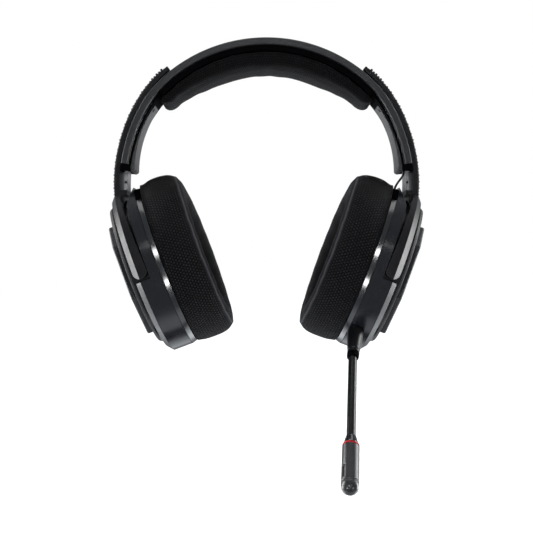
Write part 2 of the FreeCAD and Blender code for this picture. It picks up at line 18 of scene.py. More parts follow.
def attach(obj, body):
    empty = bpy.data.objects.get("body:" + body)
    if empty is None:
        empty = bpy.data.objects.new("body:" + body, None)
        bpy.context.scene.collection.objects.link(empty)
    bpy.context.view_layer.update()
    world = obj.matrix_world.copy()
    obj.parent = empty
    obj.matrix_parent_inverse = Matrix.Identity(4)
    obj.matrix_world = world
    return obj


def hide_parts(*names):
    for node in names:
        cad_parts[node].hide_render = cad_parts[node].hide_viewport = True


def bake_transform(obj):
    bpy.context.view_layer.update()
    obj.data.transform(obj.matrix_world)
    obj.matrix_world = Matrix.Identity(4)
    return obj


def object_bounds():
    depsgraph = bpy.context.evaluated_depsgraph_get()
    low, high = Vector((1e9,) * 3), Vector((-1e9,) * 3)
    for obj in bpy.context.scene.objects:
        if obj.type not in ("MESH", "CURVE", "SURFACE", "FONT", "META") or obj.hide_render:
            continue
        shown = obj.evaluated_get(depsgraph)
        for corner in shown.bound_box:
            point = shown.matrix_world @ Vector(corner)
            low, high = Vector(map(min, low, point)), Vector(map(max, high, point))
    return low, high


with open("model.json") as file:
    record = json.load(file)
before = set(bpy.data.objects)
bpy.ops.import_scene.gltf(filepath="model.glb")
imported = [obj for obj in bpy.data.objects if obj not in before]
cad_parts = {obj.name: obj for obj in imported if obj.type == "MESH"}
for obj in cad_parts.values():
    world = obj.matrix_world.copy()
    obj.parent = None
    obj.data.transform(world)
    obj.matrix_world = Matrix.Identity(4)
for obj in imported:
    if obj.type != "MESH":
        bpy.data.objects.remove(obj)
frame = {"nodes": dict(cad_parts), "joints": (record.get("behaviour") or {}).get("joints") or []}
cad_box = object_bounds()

MM = 0.001
SIDES = ("right", "left")
NODES = frame["nodes"]
JOINTS = {joint["name"]: joint for joint in frame["joints"]}

# Headband: its curve's centres and radii, and depths below the shell's outer face
TOP_R = 90.6
SIDE_R = 86.4
PER_DEGREE = SIDE_R * pi / 180   # length along the sides' outer face
SIDE_CENTRE_Z = JOINTS["arm_slide_right"]["pos_m"][2] / MM
TOP_CENTRE_DROP = 6.5
JUNCTION_BLEND = 0.2
HALF_WIDTH_TOP = 19.0
HALF_WIDTH_LOW = 13.0
WIDE_ABOVE_Z = -8.0
NARROW_BELOW_Z = -48.0
SHELL_END = 82.4
LINING_DEPTH = 5.8
LINING_THICK = (0.7, 2.8)    # at its upper and lower ends
LINING_HALF = 8.4            # half its width at its upper end
LINING_WIDENS = 2.4          # and how much more that is at its lower end
LINING_NOSE = 2.2            # length over which the lower end rounds off
LINING_ENDS = (55.2, 85.2)   # degrees from the top

CUSHION_TOP = 7.7            # depth of its upper face
CUSHION_LOW = (17.1, 13.9)   # depth of its underside, in the middle and towards its ends
CUSHION_THINS = (24.0, 56.0) # degrees from the top between which it changes
CUSHION_TIP = 9.4            # depth of its underside at its very ends
CUSHION_NOSE = 7.5           # length over which each end rounds off to that
CUSHION_END = 52.4           # degrees from the top
CUSHION_MARGIN = 1.0         # from the headband's edge, in the middle
CUSHION_NARROWS = 2.5        # and how much more that is towards its ends

# Cup: an oval of four tangent arcs
HALF_HEIGHT = 50.0
HALF_DEPTH = 41.0
END_R = 30.0
SIDE_ARC_R = (HALF_DEPTH ** 2 + (HALF_HEIGHT - END_R) ** 2 - END_R ** 2) / (2 * (HALF_DEPTH - END_R))
CORNER = atan2(SIDE_ARC_R - HALF_DEPTH, HALF_HEIGHT - END_R)
TILT = radians(20.6)
CUP_ORIGIN = np.array([-58.5, 0.0, -116.1])
PAD_THICK = 25.2
PAD_WALL = 17.0
KNIT_PITCH = 1.85           # of the pads' staggered mesh, along a row
KNIT_ROW = 1.6              # from one row to the next


# ---- outlines

STRAIGHT = 1.55             # half of a corner's angle, in radians, from which it counts as straight


def rounded(points, radius, steps=3):
    """A closed outline with its corners rounded. radius is one number or one per corner."""
    points = np.asarray(points, float)
    radii = np.broadcast_to(radius, len(points))
    out = []
    befores = np.roll(points, 1, 0) - points
    for p, before, after, r in zip(points, befores, -np.roll(befores, -1, 0), radii):
        length = min(norm(before), norm(after))
        before, after = before / norm(before), after / norm(after)
        half = acos(max(-1.0, min(1.0, float(before @ after)))) / 2
        if r <= 0 or half > STRAIGHT:
            out.append(p)
            continue
        reach = min(r / tan(half), 0.49 * length)
        middle = before + after
        centre = p + middle / norm(middle) * (reach * tan(half) / sin(half))
        a, b = p + before * reach - centre, p + after * reach - centre
        turn = atan2(a[0] * b[1] - a[1] * b[0], float(a @ b))
        for part in np.linspace(0, turn, steps + 1):
            c, s = cos(part), sin(part)
            out.append(centre + np.array([c * a[0] - s * a[1], s * a[0] + c * a[1]]))
    return np.array(out)


def run_counts(points, longest):
    """Into how many parts each run of a closed outline divides, so that none is longer than this."""
    runs = norm(np.roll(points, -1, 0) - points, axis=1)
    return [max(1, int(ceil(run / longest))) for run in runs]


def divided(points, counts):
    """A closed outline with its runs divided."""
    out = []
    for p, q, count in zip(points, np.roll(points, -1, 0), counts):
        out += [p + (q - p) * k / count for k in range(count)]
    return np.array(out)


def shrunk(points, amount):
    """A closed outline moved inward."""
    if amount <= 0:
        return points
    area = np.sum(points[:, 0] * np.roll(points[:, 1], -1) - points[:, 1] * np.roll(points[:, 0], -1))
    ahead = np.roll(points, -1, 0) - points
    ahead /= np.maximum(norm(ahead, axis=1, keepdims=True), 1e-9)
    normal = np.column_stack([-ahead[:, 1], ahead[:, 0]]) * (1 if area > 0 else -1)
    both = normal + np.roll(normal, 1, 0)
    both /= np.maximum(norm(both, axis=1, keepdims=True), 1e-9)
    slant = np.maximum(np.sum(both * normal, axis=1, keepdims=True), 0.5)
    return points + both * amount / slant


def stations(start, end, step, edge=0.0, steps=3):
    """Positions along a piece, and how far its outline shrinks there, for ends with rounded edges."""
    count = max(2, int(ceil((end - start - 2 * edge) / step)) + 1)
    middle = [(s, 0.0) for s in np.linspace(start + edge, end - edge, count)]
    if edge <= 0:
        return middle
    turns = [pi / 2 * k / steps for k in range(steps)]
    first = [(start + edge * (1 - cos(a)), edge * (1 - sin(a))) for a in turns]
    last = [(end - edge * (1 - cos(a)), edge * (1 - sin(a))) for a in reversed(turns)]
    return first + middle + last


# ---- meshes

def unit(vector):
    return np.array(vector) / norm(vector)


def linked(name, data):
    """A new object in the scene."""
    obj = bpy.data.objects.new(name, data)
    bpy.context.scene.collection.objects.link(obj)
    return obj


def plain_mesh(name, points, faces):
    """A mesh from points in metres."""
    mesh = bpy.data.meshes.new(name)
    mesh.from_pydata(points.tolist(), [], faces)
    return mesh


def new_piece(name, points, faces, smooth=True):
    """A new object from points in millimetres, with its faces turned outward."""
    mesh = plain_mesh(name, np.asarray(points, float) * MM, faces)
    made = bmesh.new()
    made.from_mesh(mesh)
    bmesh.ops.recalc_face_normals(made, faces=made.faces)
    made.to_mesh(mesh)
    made.free()
    if smooth:
        mesh.shade_smooth()
    return linked(name, mesh)


def lofted(rings, closed=False):
    """Points and faces of a tube through rings of points. An open tube is closed by its end outlines."""
    rings = np.asarray(rings, float)
    n, m = rings.shape[:2]
    faces = []
    for i in range(n if closed else n - 1):
        j = (i + 1) % n
        for k in range(m):
            l = (k + 1) % m
            faces.append((i * m + k, i * m + l, j * m + l, j * m + k))
    if not closed:
        faces.append(tuple(range(m)))
        faces.append(tuple((n - 1) * m + k for k in range(m)))
    return rings.reshape(-1, 3), faces


def merged(parts):
    """One list of points and faces from several."""
    points, faces, start = [], [], 0
    for p, f in parts:
        points.append(np.asarray(p, float))
        faces += [tuple(i + start for i in face) for face in f]
        start += len(p)
    return np.vstack(points), faces


def flat_shading(obj, angle=40):
    """Keeps edges sharper than the angle crisp, and large faces flat."""
    obj.data.set_sharp_from_angle(angle=radians(angle))
    weighted = obj.modifiers.new("weighted", "WEIGHTED_NORMAL")
    weighted.keep_sharp = True
    return obj


def on_side(points, side):
    """Points drawn at -X, the wearer's right, on the side asked for."""
    return np.asarray(points, float) * np.array([1 if side == "right" else -1, 1, 1])


def tilted(p, angle):
    """Points turned about Y."""
    c, s = cos(angle), sin(angle)
    return np.stack([c * p[..., 0] - s * p[..., 2], p[..., 1], s * p[..., 0] + c * p[..., 2]], axis=-1)


def to_world(points):
    """Points in the right cup's axes, in the object's axes."""
    return tilted(np.asarray(points, float), TILT) + CUP_ORIGIN


def from_world(points):
    """Points in the object's axes, at -X, in the right cup's axes."""
    return tilted(np.asarray(points, float) - CUP_ORIGIN, -TILT)


def cup_piece(name, side, points, faces):
    """A new object from points in a cup's axes."""
    return new_piece(name, on_side(to_world(points), side), faces)


def vertex_points(mesh):
    """A mesh's points, in metres."""
    co = np.zeros(len(mesh.vertices) * 3)
    mesh.vertices.foreach_get("co", co)
    return co.reshape(-1, 3)


def cloth_on_points(obj, place):
    """Writes the cloth coordinates of a piece whose weave has no seam. place turns its points into them."""
    attribute = obj.data.attributes.new("cloth", "FLOAT_VECTOR", "POINT")
    attribute.data.foreach_set("vector", place(vertex_points(obj.data) / MM).astype(np.float32).ravel())


# ---- headband curve

def arch_radius(depth, degrees):
    """Distance from the side centre, at an angle from the top, of a line at a depth below the outer face.

    The top's larger arc runs smoothly into the sides' arc.
    """
    turn = radians(degrees)
    drop = TOP_CENTRE_DROP
    over_top = np.sqrt((TOP_R - depth) ** 2 - (drop * sin(turn)) ** 2) - drop * cos(turn)
    return -JUNCTION_BLEND * np.logaddexp(-over_top / JUNCTION_BLEND, -(SIDE_R - depth) / JUNCTION_BLEND)


def eased(share):
    return share * share * (3 - 2 * share)


def half_width(degrees):
    """Half of the headband's width in Y at an angle from the top."""
    z = SIDE_CENTRE_Z + SIDE_R * cos(radians(degrees))
    share = min(1.0, max(0.0, (WIDE_ABOVE_Z - z) / (WIDE_ABOVE_Z - NARROW_BELOW_Z)))
    share = 0.4 * share + 0.6 * eased(share)
    return HALF_WIDTH_TOP + (HALF_WIDTH_LOW - HALF_WIDTH_TOP) * share


def arch_ring(degrees, outline, shrink=0.0):
    """An outline of (y, depth) points, placed at an angle. Positive angles are at -X."""
    outline = shrunk(outline, shrink)
    r = arch_radius(outline[:, 1], degrees)
    turn = radians(degrees)
    return np.column_stack([-r * sin(turn), outline[:, 0], SIDE_CENTRE_Z + r * cos(turn)])


def arch_piece(start, end, outline_at, edge=0.5, step=1.2, longest=4.0):
    """A piece that follows the headband's curve. outline_at(degrees) gives its (y, depth) outline."""
    counts = run_counts(outline_at((start + end) / 2), longest)
    rings = []
    for place, shrink in stations(start * PER_DEGREE, end * PER_DEGREE, step * PER_DEGREE, edge):
        degrees = place / PER_DEGREE
        rings.append(arch_ring(degrees, divided(outline_at(degrees), counts), shrink))
    return lofted(rings)


# ---- cup oval

END_ARC = END_R * CORNER
SIDE_ARC = SIDE_ARC_R * (pi - 2 * CORNER)
OVAL_LENGTH = 4 * END_ARC + 2 * SIDE_ARC
END_Z = HALF_HEIGHT - END_R
SIDE_Y = SIDE_ARC_R - HALF_DEPTH

# The arcs from the top round towards +y: length, direction of the normal at the start, radius and centre
OVAL_ARCS = (
    (END_ARC, 0.0, END_R, (0.0, END_Z)),
    (SIDE_ARC, CORNER, SIDE_ARC_R, (-SIDE_Y, 0.0)),
    (2 * END_ARC, pi - CORNER, END_R, (0.0, -END_Z)),
    (SIDE_ARC, pi + CORNER, SIDE_ARC_R, (SIDE_Y, 0.0)),
    (inf, 2 * pi - CORNER, END_R, (0.0, END_Z)),
)


def oval_points(length, inset):
    """(y, z) of the oval moved in by inset, at a length round it from the top."""
    length %= OVAL_LENGTH
    for arc, start, r, centre in OVAL_ARCS:
        if length <= arc:
            break
        length -= arc
    turn = start + length / r
    reach = r - np.asarray(inset, float)
    return centre[0] + reach * sin(turn), centre[1] + reach * cos(turn)


def oval_ring(length, outline, shrink=0.0):
    """An outline of (inset, x) points, placed at a length round the oval, in the cup's axes."""
    outline = shrunk(outline, shrink)
    y, z = oval_points(length, outline[:, 0])
    return np.column_stack([outline[:, 1], y, z])


def oval_sweep(outline, start, end, step, edge):
    """A piece that follows the oval from one length round it to another, in the cup's axes."""
    return lofted([oval_ring(s, outline, shrink) for s, shrink in stations(start, end, step, edge)])


def oval_disc(outline, step=2.0, reach=24.0):
    """A closed oval disc from an (inset, x) profile. Insets past reach shrink evenly towards the middle."""
    outline = np.array(outline, float)
    scale = np.minimum(1.0, (HALF_DEPTH - outline[:, 0]) / (HALF_DEPTH - reach))[:, None] ** [0, 1, 1]
    outline[:, 0] = np.minimum(outline[:, 0], reach)
    n = int(OVAL_LENGTH / step)
    rings = np.array([oval_ring(OVAL_LENGTH * k / n, outline) * scale for k in range(n)])
    m = len(outline) - 2
    points, faces = lofted(rings[:, 1:-1], True)
    faces = [face for i, face in enumerate(faces) if i % m < m - 1]
    for i in range(n):
        j = (i + 1) % n
        faces += [(n * m, i * m, j * m), (n * m + 1, j * m + m - 1, i * m + m - 1)]
    return np.vstack([points, rings[:, 0].mean(0), rings[:, -1].mean(0)]), faces


# ---- turned pieces

def directions(across, third, around):
    """Directions all round, from two that are at right angles."""
    turn = np.linspace(0, 2 * pi, around, endpoint=False)
    return np.cos(turn)[:, None] * across + np.sin(turn)[:, None] * third


def round_axis(axis, around):
    """Directions all round an axis."""
    across = np.cross(axis, [1.0, 0.0, 0.0])
    across /= norm(across)
    return directions(across, np.cross(axis, across), around)


def turned(profile, start, axis, around):
    """A closed turned piece from (distance, radius) points, along an axis from a point."""
    out = round_axis(axis, around)
    return lofted([start + axis * along + r * out for along, r in profile])


def tube(path, radius, around):
    """A round tube along points, with frames carried smoothly along it."""
    path = np.asarray(path, float)
    ahead = np.gradient(path, axis=0)
    ahead /= norm(ahead, axis=1, keepdims=True)
    across = np.cross(ahead[0], [0.3, 1.0, 0.2])
    rings = []
    for p, t in zip(path, ahead):
        across = across - t * (across @ t)
        across /= norm(across)
        rings.append(p + radius * directions(across, np.cross(t, across), around))
    return lofted(rings)


def softened(profile, radius=0.5, steps=3):
    """A turned piece's open profile with its corners rounded."""
    profile = [np.array(p, float) for p in profile]
    out = [profile[0]]
    for before, p, after in zip(profile, profile[1:], profile[2:]):
        a, b = before - p, after - p
        la, lb = norm(a), norm(b)
        reach = min(radius, 0.45 * la, 0.45 * lb)
        for k in range(steps + 1):
            t = k / steps
            first, second = p + a / la * reach * (1 - t), p + b / lb * reach * t
            out.append(first * (1 - t) + second * t)
    out.append(profile[-1])
    return [tuple(p) for p in out]


# ---- finished pieces

def declare(obj, node, body, slot, material=None):
    """Puts a finished piece on its body in place of its CAD node, with its slot's material or another."""
    obj.data.materials.clear()
    obj.data.materials.append(MATERIALS[material or slot])
    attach(obj, body)
    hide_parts(node)


def refine(rows, body, side=None, segments=2):
    """Makes pieces with CAD nodes' own shapes, their flat faces made whole and their sharp edges rounded.

    Each row is a node, its piece's name, the bevel and what declare() takes after the body. With a side, both
    names end in it.
    """
    for node, name, bevel, *look in rows:
        if side:
            node, name = f"{node}_{side}", f"{name}_{side}"
        made = bmesh.new()
        made.from_mesh(NODES[node].data)
        bmesh.ops.remove_doubles(made, verts=made.verts, dist=2e-6)
        bmesh.ops.dissolve_limit(made, angle_limit=radians(0.6), verts=made.verts, edges=made.edges)
        if bevel > 0:
            sharp = [e for e in made.edges if e.is_manifold and e.calc_face_angle(0) > radians(30)]
            bmesh.ops.bevel(made, geom=sharp, offset=bevel * MM, segments=segments, profile=0.5,
                            affect="EDGES", clamp_overlap=True)
        bmesh.ops.recalc_face_normals(made, faces=made.faces)
        mesh = bpy.data.meshes.new(name)
        made.to_mesh(mesh)
        made.free()
        mesh.shade_smooth()
        declare(flat_shading(linked(name, mesh), 32), node, body, *look)


# ---- materials

MATERIALS = {}              # by name; Tree adds each one


class Nodes:
    """The few kinds of node that the materials and the studio use, in one node tree."""

    def __init__(self, tree):
        self.tree = tree
        self.tree.nodes.clear()

    def add(self, kind, inputs=None, **settings):
        """Adds a node, sets it up and links its inputs."""
        made = self.tree.nodes.new(kind)
        for key, value in settings.items():
            setattr(made, key, value)
        for key, value in (inputs or {}).items():
            if isinstance(value, bpy.types.NodeSocket):
                self.tree.links.new(value, made.inputs[key])
            else:
                made.inputs[key].default_value = value
        return made

    def math(self, operation, a, b=0.0):
        return self.add("ShaderNodeMath", {0: a, 1: b}, operation=operation).outputs[0]

    def times(self, a, b):
        return self.math("MULTIPLY", a, b)

    def plus(self, a, b):
        return self.math("ADD", a, b)

    def minus(self, a, b):
        return self.math("SUBTRACT", a, b)

    def span(self, value, low, high, to_low=0.0, to_high=1.0):
        """A value carried from one range to another, and held inside it."""
        inputs = {"Value": value, "From Min": low, "From Max": high, "To Min": to_low, "To Max": to_high}
        return self.add("ShaderNodeMapRange", inputs).outputs["Result"]


class Tree(Nodes):
    """A new material with one main shader."""

    def __init__(self, name, colour, rough, metal=0.0, specular=0.5):
        made = MATERIALS[name] = bpy.data.materials.new(name)
        made.use_nodes = True
        super().__init__(made.node_tree)
        output = self.add("ShaderNodeOutputMaterial")
        self.shader = self.add("ShaderNodeBsdfPrincipled")
        self.tree.links.new(self.shader.outputs["BSDF"], output.inputs["Surface"])
        self.set("Base Color", (*colour, 1.0))
        self.set("Roughness", rough)
        self.set("Metallic", metal)
        self.set("Specular IOR Level", specular)
        self.place = self.add("ShaderNodeTexCoord").outputs["Object"]

    def set(self, socket, value):
        """Sets or links one of the shader's sockets."""
        if isinstance(value, bpy.types.NodeSocket):
            self.tree.links.new(value, self.shader.inputs[socket])
        else:
            self.shader.inputs[socket].default_value = value

    def noise(self, size, detail=2.0):
        """Noise whose grains are about size millimetres across."""
        inputs = {"Vector": self.place, "Scale": 1.0 / (size * MM), "Detail": detail}
        return self.add("ShaderNodeTexNoise", inputs).outputs["Fac"]

    def cells(self, size, feature="F1"):
        """Distance within cells about size millimetres across."""
        inputs = {"Vector": self.place, "Scale": 1.0 / (size * MM)}
        return self.add("ShaderNodeTexVoronoi", inputs, feature=feature).outputs["Distance"]

    def field(self, name):
        """One of the piece's own attributes."""
        return self.add("ShaderNodeAttribute", attribute_name=name, attribute_type="GEOMETRY").outputs["Fac"]

    def patches(self, size, detail, low, high, to_low=0.0, to_high=1.0):
        """Noise carried from one range to another."""
        return self.span(self.noise(size, detail), low, high, to_low, to_high)

    def blend(self, share, a, b):
        """A colour between two."""
        a, b = (value if isinstance(value, bpy.types.NodeSocket) else (*value, 1.0) for value in (a, b))
        return self.add("ShaderNodeMix", {0: share, 6: a, 7: b}, data_type="RGBA").outputs[2]

    def shades(self, share, colour, darker, lighter):
        """A colour between two shades of one."""
        return self.blend(share, scaled(colour, darker), scaled(colour, lighter))

    def bump(self, height, depth, under=None):
        """A bump of so many millimetres, over another."""
        inputs = {"Height": height, "Strength": 1.0, "Distance": depth * MM}
        if under is not None:
            inputs["Normal"] = under
        return self.add("ShaderNodeBump", inputs).outputs["Normal"]

    def worn(self, strength):
        """Where edges have been rubbed: high on convex edges, broken up by noise."""
        edge = self.span(self.add("ShaderNodeNewGeometry").outputs["Pointiness"], 0.53, 0.62)
        return self.times(edge, self.patches(3.0, 4.0, 0.38, 0.62, 0.25 * strength, strength))


def scaled(colour, factor):
    return tuple(min(1.0, c * factor) for c in colour)


def moulded(name, colour, rough, grain=0.35, depth=0.012, specular=0.5, mottle=0.12):
    """Matt moulded plastic: fine spark-eroded grain, uneven sheen and slightly rubbed edges."""
    m = Tree(name, colour, rough, specular=specular)
    base = m.shades(m.patches(14.0, 3.0, 0.35, 0.65), colour, 1 - mottle, 1 + mottle)
    m.set("Base Color", m.blend(m.worn(0.6), base, scaled(colour, 2.2)))
    fine = m.noise(grain, 2.0)
    smudge = m.patches(7.0, 4.0, 0.3, 0.7, rough - 0.05, rough + 0.05)
    m.set("Roughness", m.plus(smudge, m.span(fine, 0.3, 0.7, -0.04, 0.04)))
    m.set("Normal", m.bump(fine, depth))


def glossy(name, colour, rough, coat=0.5, coat_rough=0.06):
    """Polished plastic under clear lacquer, with fine swirl marks and a faint ripple from moulding."""
    m = Tree(name, colour, rough, specular=0.4)
    m.set("Coat Weight", coat)
    m.set("Coat Roughness", coat_rough)
    m.set("Coat IOR", 1.4)
    base = m.shades(m.patches(20.0, 2.0, 0.35, 0.65), colour, 0.85, 1.15)
    m.set("Base Color", m.blend(m.worn(0.35), base, scaled(colour, 1.8)))
    m.set("Roughness", m.patches(5.0, 5.0, 0.3, 0.7, rough - 0.04, rough + 0.06))
    m.set("Normal", m.bump(m.noise(9.0, 1.0), 0.03, m.bump(m.noise(0.6, 5.0), 0.0012)))


def metallic(name, colour, rough, size=0.12):
    """Machined metal with fine uneven marks."""
    m = Tree(name, colour, rough, 1.0)
    marks = m.noise(size, 3.0)
    base = m.shades(m.patches(2.5, 4.0, 0.3, 0.7), colour, 0.8, 1.1)
    m.set("Base Color", m.blend(m.worn(0.5), base, scaled(colour, 1.5)))
    m.set("Roughness", m.span(marks, 0.3, 0.7, rough - 0.06, rough + 0.08))
    m.set("Normal", m.bump(marks, 0.004))


def rubbery(name, colour, rough, depth=0.02):
    """Soft-touch rubber: fine pitted skin, with dust-like paler patches."""
    m = Tree(name, colour, rough, specular=0.35)
    dust = m.times(m.patches(1.2, 5.0, 0.5, 0.75), 0.35)
    m.set("Base Color", m.blend(dust, colour, scaled(colour, 2.0)))
    pits = m.cells(0.3)
    m.set("Roughness", m.patches(4.0, 3.0, 0.3, 0.7, rough - 0.06, rough + 0.05))
    m.set("Normal", m.bump(pits, depth))


def cloth_place(m):
    """Millimetres along and across the cloth, from the piece's own cloth attribute."""
    made = m.add("ShaderNodeAttribute", attribute_name="cloth", attribute_type="GEOMETRY")
    split = m.add("ShaderNodeSeparateXYZ", {0: made.outputs["Vector"]})
    return split.outputs[0], split.outputs[1]


def dots(m, along, across, pitch, rows_apart):
    """Distance, as a share of the pitch, to the nearest of a staggered grid of dots."""
    row = m.math("DIVIDE", across, rows_apart)
    odd = m.times(m.math("FLOORED_MODULO", m.math("FLOOR", row), 2.0), 0.5)
    column = m.plus(m.math("DIVIDE", along, pitch), odd)
    x = m.minus(m.math("FRACT", column), 0.5)
    y = m.times(m.minus(m.math("FRACT", row), 0.5), rows_apart / pitch)
    return m.math("SQRT", m.plus(m.times(x, x), m.times(y, y)))


def threads(m, along, across, size):
    """Height of a plain weave of round threads."""
    a = m.math("SINE", m.times(along, 2 * pi / size))
    b = m.math("SINE", m.times(across, 2 * pi / size))
    return m.times(a, b)


def mesh_knit(name, colour, light):
    """Spacer knit of the ear pads: staggered paler knots, open cells darkened as painted shade, a painted
    crest highlight.
    """
    m = Tree(name, colour, 0.85, specular=0.08)
    m.set("Sheen Weight", 0.05)
    m.set("Sheen Roughness", 0.4)
    along, across = cloth_place(m)
    near = dots(m, along, across, KNIT_PITCH, KNIT_ROW)
    on_wall = m.field("open_knit")
    knot = m.times(m.span(near, 0.30, 0.16), on_wall)
    cell = m.times(m.span(near, 0.36, 0.5), on_wall)
    yarn = threads(m, along, across, 0.42)
    base = m.shades(m.patches(6.0, 3.0, 0.3, 0.7), colour, 0.8, 1.2)
    base = m.blend(m.patches(0.25, 2.0, 0.55, 0.8, 0.0, 0.3), base, light)
    # Painted shade: the open cells are darkened to stand for the shade inside the holes.
    base = m.blend(cell, base, scaled(colour, 0.3))
    base = m.blend(m.times(knot, m.patches(2.5, 3.0, 0.3, 0.6, 0.5, 1.0)), base, light)
    # Painted highlight: a pale line where the crest attribute is high, along the pads' crest between side and
    # rim.
    m.set("Base Color", m.blend(m.times(m.field("crest"), 0.8), base, scaled(light, 3.2)))
    m.set("Roughness", m.span(yarn, -1.0, 1.0, 0.92, 0.8))
    relief = m.minus(knot, cell)
    m.set("Normal", m.bump(relief, 0.16, m.bump(yarn, 0.03)))


def woven(name, colour, light, size=0.7, depth=0.08, sheen=0.03):
    """Textile weave with paler slub yarns and a little fuzz."""
    m = Tree(name, colour, 0.9, specular=0.08)
    m.set("Sheen Weight", sheen)
    m.set("Sheen Roughness", 0.5)
    along, across = cloth_place(m)
    weave = threads(m, along, across, size)
    slub = m.patches(0.9, 3.0, 0.45, 0.75)
    base = m.shades(m.patches(9.0, 3.0, 0.3, 0.7), colour, 0.8, 1.2)
    base = m.blend(m.times(slub, m.span(weave, -0.2, 0.9)), base, light)
    m.set("Base Color", base)
    m.set("Roughness", m.span(weave, -1.0, 1.0, 0.95, 0.82))
    m.set("Normal", m.bump(weave, depth, m.bump(m.noise(0.2, 2.0), 0.02)))


def leatherette(name, colour, rough):
    """Soft pebbled lining, its pebble tops painted lighter and its creases darker as painted shade."""
    m = Tree(name, colour, rough, specular=0.4)
    pebble = m.cells(0.8, "SMOOTH_F1")
    painted_crease_shade = m.span(pebble, 0.35, 0.75)
    # Painted shade: the creases between pebbles are darkened and the pebble tops lightened.
    m.set("Base Color", m.shades(painted_crease_shade, colour, 1.15, 0.7))
    m.set("Roughness", m.patches(3.0, 4.0, 0.3, 0.7, rough - 0.07, rough + 0.07))
    m.set("Normal", m.bump(pebble, -0.12))


# ---- padded pieces

VOXEL = 4.0
PRESSURE = 4.0
CLOTH_STEPS = 20
CLOTH_REACH = 6.0           # how far in and out of a grid its blown-up surface is looked for
UNEVEN = 0.7                # most that the cloth's unevenness moves a point


def taken(obj):
    """Points, in metres, and faces of an object with its modifiers on. The object is removed."""
    made = obj.evaluated_get(bpy.context.evaluated_depsgraph_get())
    mesh = made.to_mesh()
    points, faces = vertex_points(mesh), [tuple(p.vertices) for p in mesh.polygons]
    made.to_mesh_clear()
    bpy.data.objects.remove(obj)
    return points, faces


def inflated(points, faces, cap, held=None):
    """The surface of a closed form blown up as cloth, which moves cap at most. Its points are in metres."""
    start = new_piece("cloth_start", points, faces)
    remesh = start.modifiers.new("remesh", "REMESH")
    remesh.mode = "VOXEL"
    remesh.voxel_size = VOXEL * MM
    rest, quads = taken(start)
    run = linked("cloth_run", plain_mesh("cloth_run", rest, quads))
    cloth = run.modifiers.new("cloth", "CLOTH")
    cloth.settings.use_pressure = True
    cloth.settings.uniform_pressure_force = PRESSURE
    cloth.settings.effector_weights.gravity = 0
    if held is not None:
        group = run.vertex_groups.new(name="held")
        group.add([int(i) for i in np.nonzero(held(rest / MM))[0]], 1.0, "REPLACE")
        cloth.settings.vertex_group_mass = "held"
    for step in range(CLOTH_STEPS):
        bpy.context.scene.frame_set(step + 1)
    blown, quads = taken(run)
    bpy.context.scene.frame_set(1)
    move = blown - rest
    length = np.maximum(norm(move, axis=1, keepdims=True), 1e-9)
    blown = rest + move * np.minimum(1.0, cap * MM / length)
    end = linked("cloth_end", plain_mesh("cloth_end", blown, quads))
    end.modifiers.new("smooth", "SUBSURF").levels = 1
    return taken(end)


def grid_normals(grid, closed):
    """Outward-ish normals of a grid of rings that wraps round its outline."""
    round_outline = np.roll(grid, -1, 1) - np.roll(grid, 1, 1)
    if closed:
        onward = np.roll(grid, -1, 0) - np.roll(grid, 1, 0)
    else:
        onward = np.gradient(grid, axis=0)
    normal = np.cross(round_outline, onward)
    normal /= np.maximum(norm(normal, axis=2, keepdims=True), 1e-9)
    inward = grid.mean(axis=1, keepdims=True) - grid
    if np.sum(inward * normal) > 0:
        normal = -normal
    return normal


def blurred(field, times, closed):
    """A grid of numbers smoothed round its outline and along its rings."""
    def pass_once(values, mode):
        padded = np.pad(values, ((0, 0), (1, 1)), mode)
        return 0.25 * padded[:, :-2] + 0.5 * values + 0.25 * padded[:, 2:]

    for _ in range(times):
        field = pass_once(field, "wrap")
    for _ in range(times):
        field = pass_once(field.T, "wrap" if closed else "edge").T
    return field


def cloth_offsets(grid, closed, rings, times, cap, held=None):
    """The unevenness that blowing up as cloth gives a grid: how far each point moves along its normal.

    rings is a coarser and slightly smaller form of the grid, and times how often the offsets are smoothed.
    """
    points, faces = inflated(*lofted(rings, closed), cap, held)
    tree = BVHTree.FromPolygons([Vector(p) for p in points], faces)
    normal = grid_normals(grid, closed)
    out = np.zeros(grid.shape[:2])
    for i, k in np.ndindex(*out.shape):
        origin = Vector((grid[i, k] - normal[i, k] * CLOTH_REACH) * MM)
        hit, _, _, distance = tree.ray_cast(origin, Vector(normal[i, k]), 2 * CLOTH_REACH * MM)
        if hit is None:
            hit, _, _, _ = tree.find_nearest(Vector(grid[i, k] * MM))
            out[i, k] = float(np.dot(np.array(hit) / MM - grid[i, k], normal[i, k]))
        else:
            out[i, k] = distance / MM - CLOTH_REACH
    return blurred(np.clip(out - np.median(out), -UNEVEN, UNEVEN), times, closed)


def cloth_attributes(obj, n, m, closed, place, **fields):
    """Writes the cloth coordinates on face corners, so that they run on over the grid's own seams.

    The piece is lofted from n rings of m points, and place turns rows and columns into the coordinates. Each
    of fields is a number per point, and becomes an attribute of that name.
    """
    mesh = obj.data
    corner = np.zeros(len(mesh.loops), int)
    mesh.loops.foreach_get("vertex_index", corner)
    row, column = np.divmod(corner, m)
    in_quads = 4 * m * (n if closed else n - 1)
    for index, size, wraps in ((row, n, closed), (column, m, True)):
        quads = index[:in_quads].reshape(-1, 4)
        over = np.ptp(quads, axis=1, keepdims=True) > size / 2
        quads += size * (wraps & over & (quads < size / 2))
    values = np.column_stack([*place(row, column), 0 * row]).astype(np.float32)
    mesh.attributes.new("cloth", "FLOAT_VECTOR", "CORNER").data.foreach_set("vector", values.ravel())
    for name, numbers in fields.items():
        field = mesh.attributes.new(name, "FLOAT", "POINT")
        field.data.foreach_set("value", np.asarray(numbers, np.float32).ravel())


def outline_lengths(outline):
    """Length along a closed outline to each of its points, and its whole length."""
    steps = norm(np.roll(outline, -1, 0) - outline, axis=1)
    return np.concatenate([[0.0], np.cumsum(steps)[:-1]]), float(steps.sum())


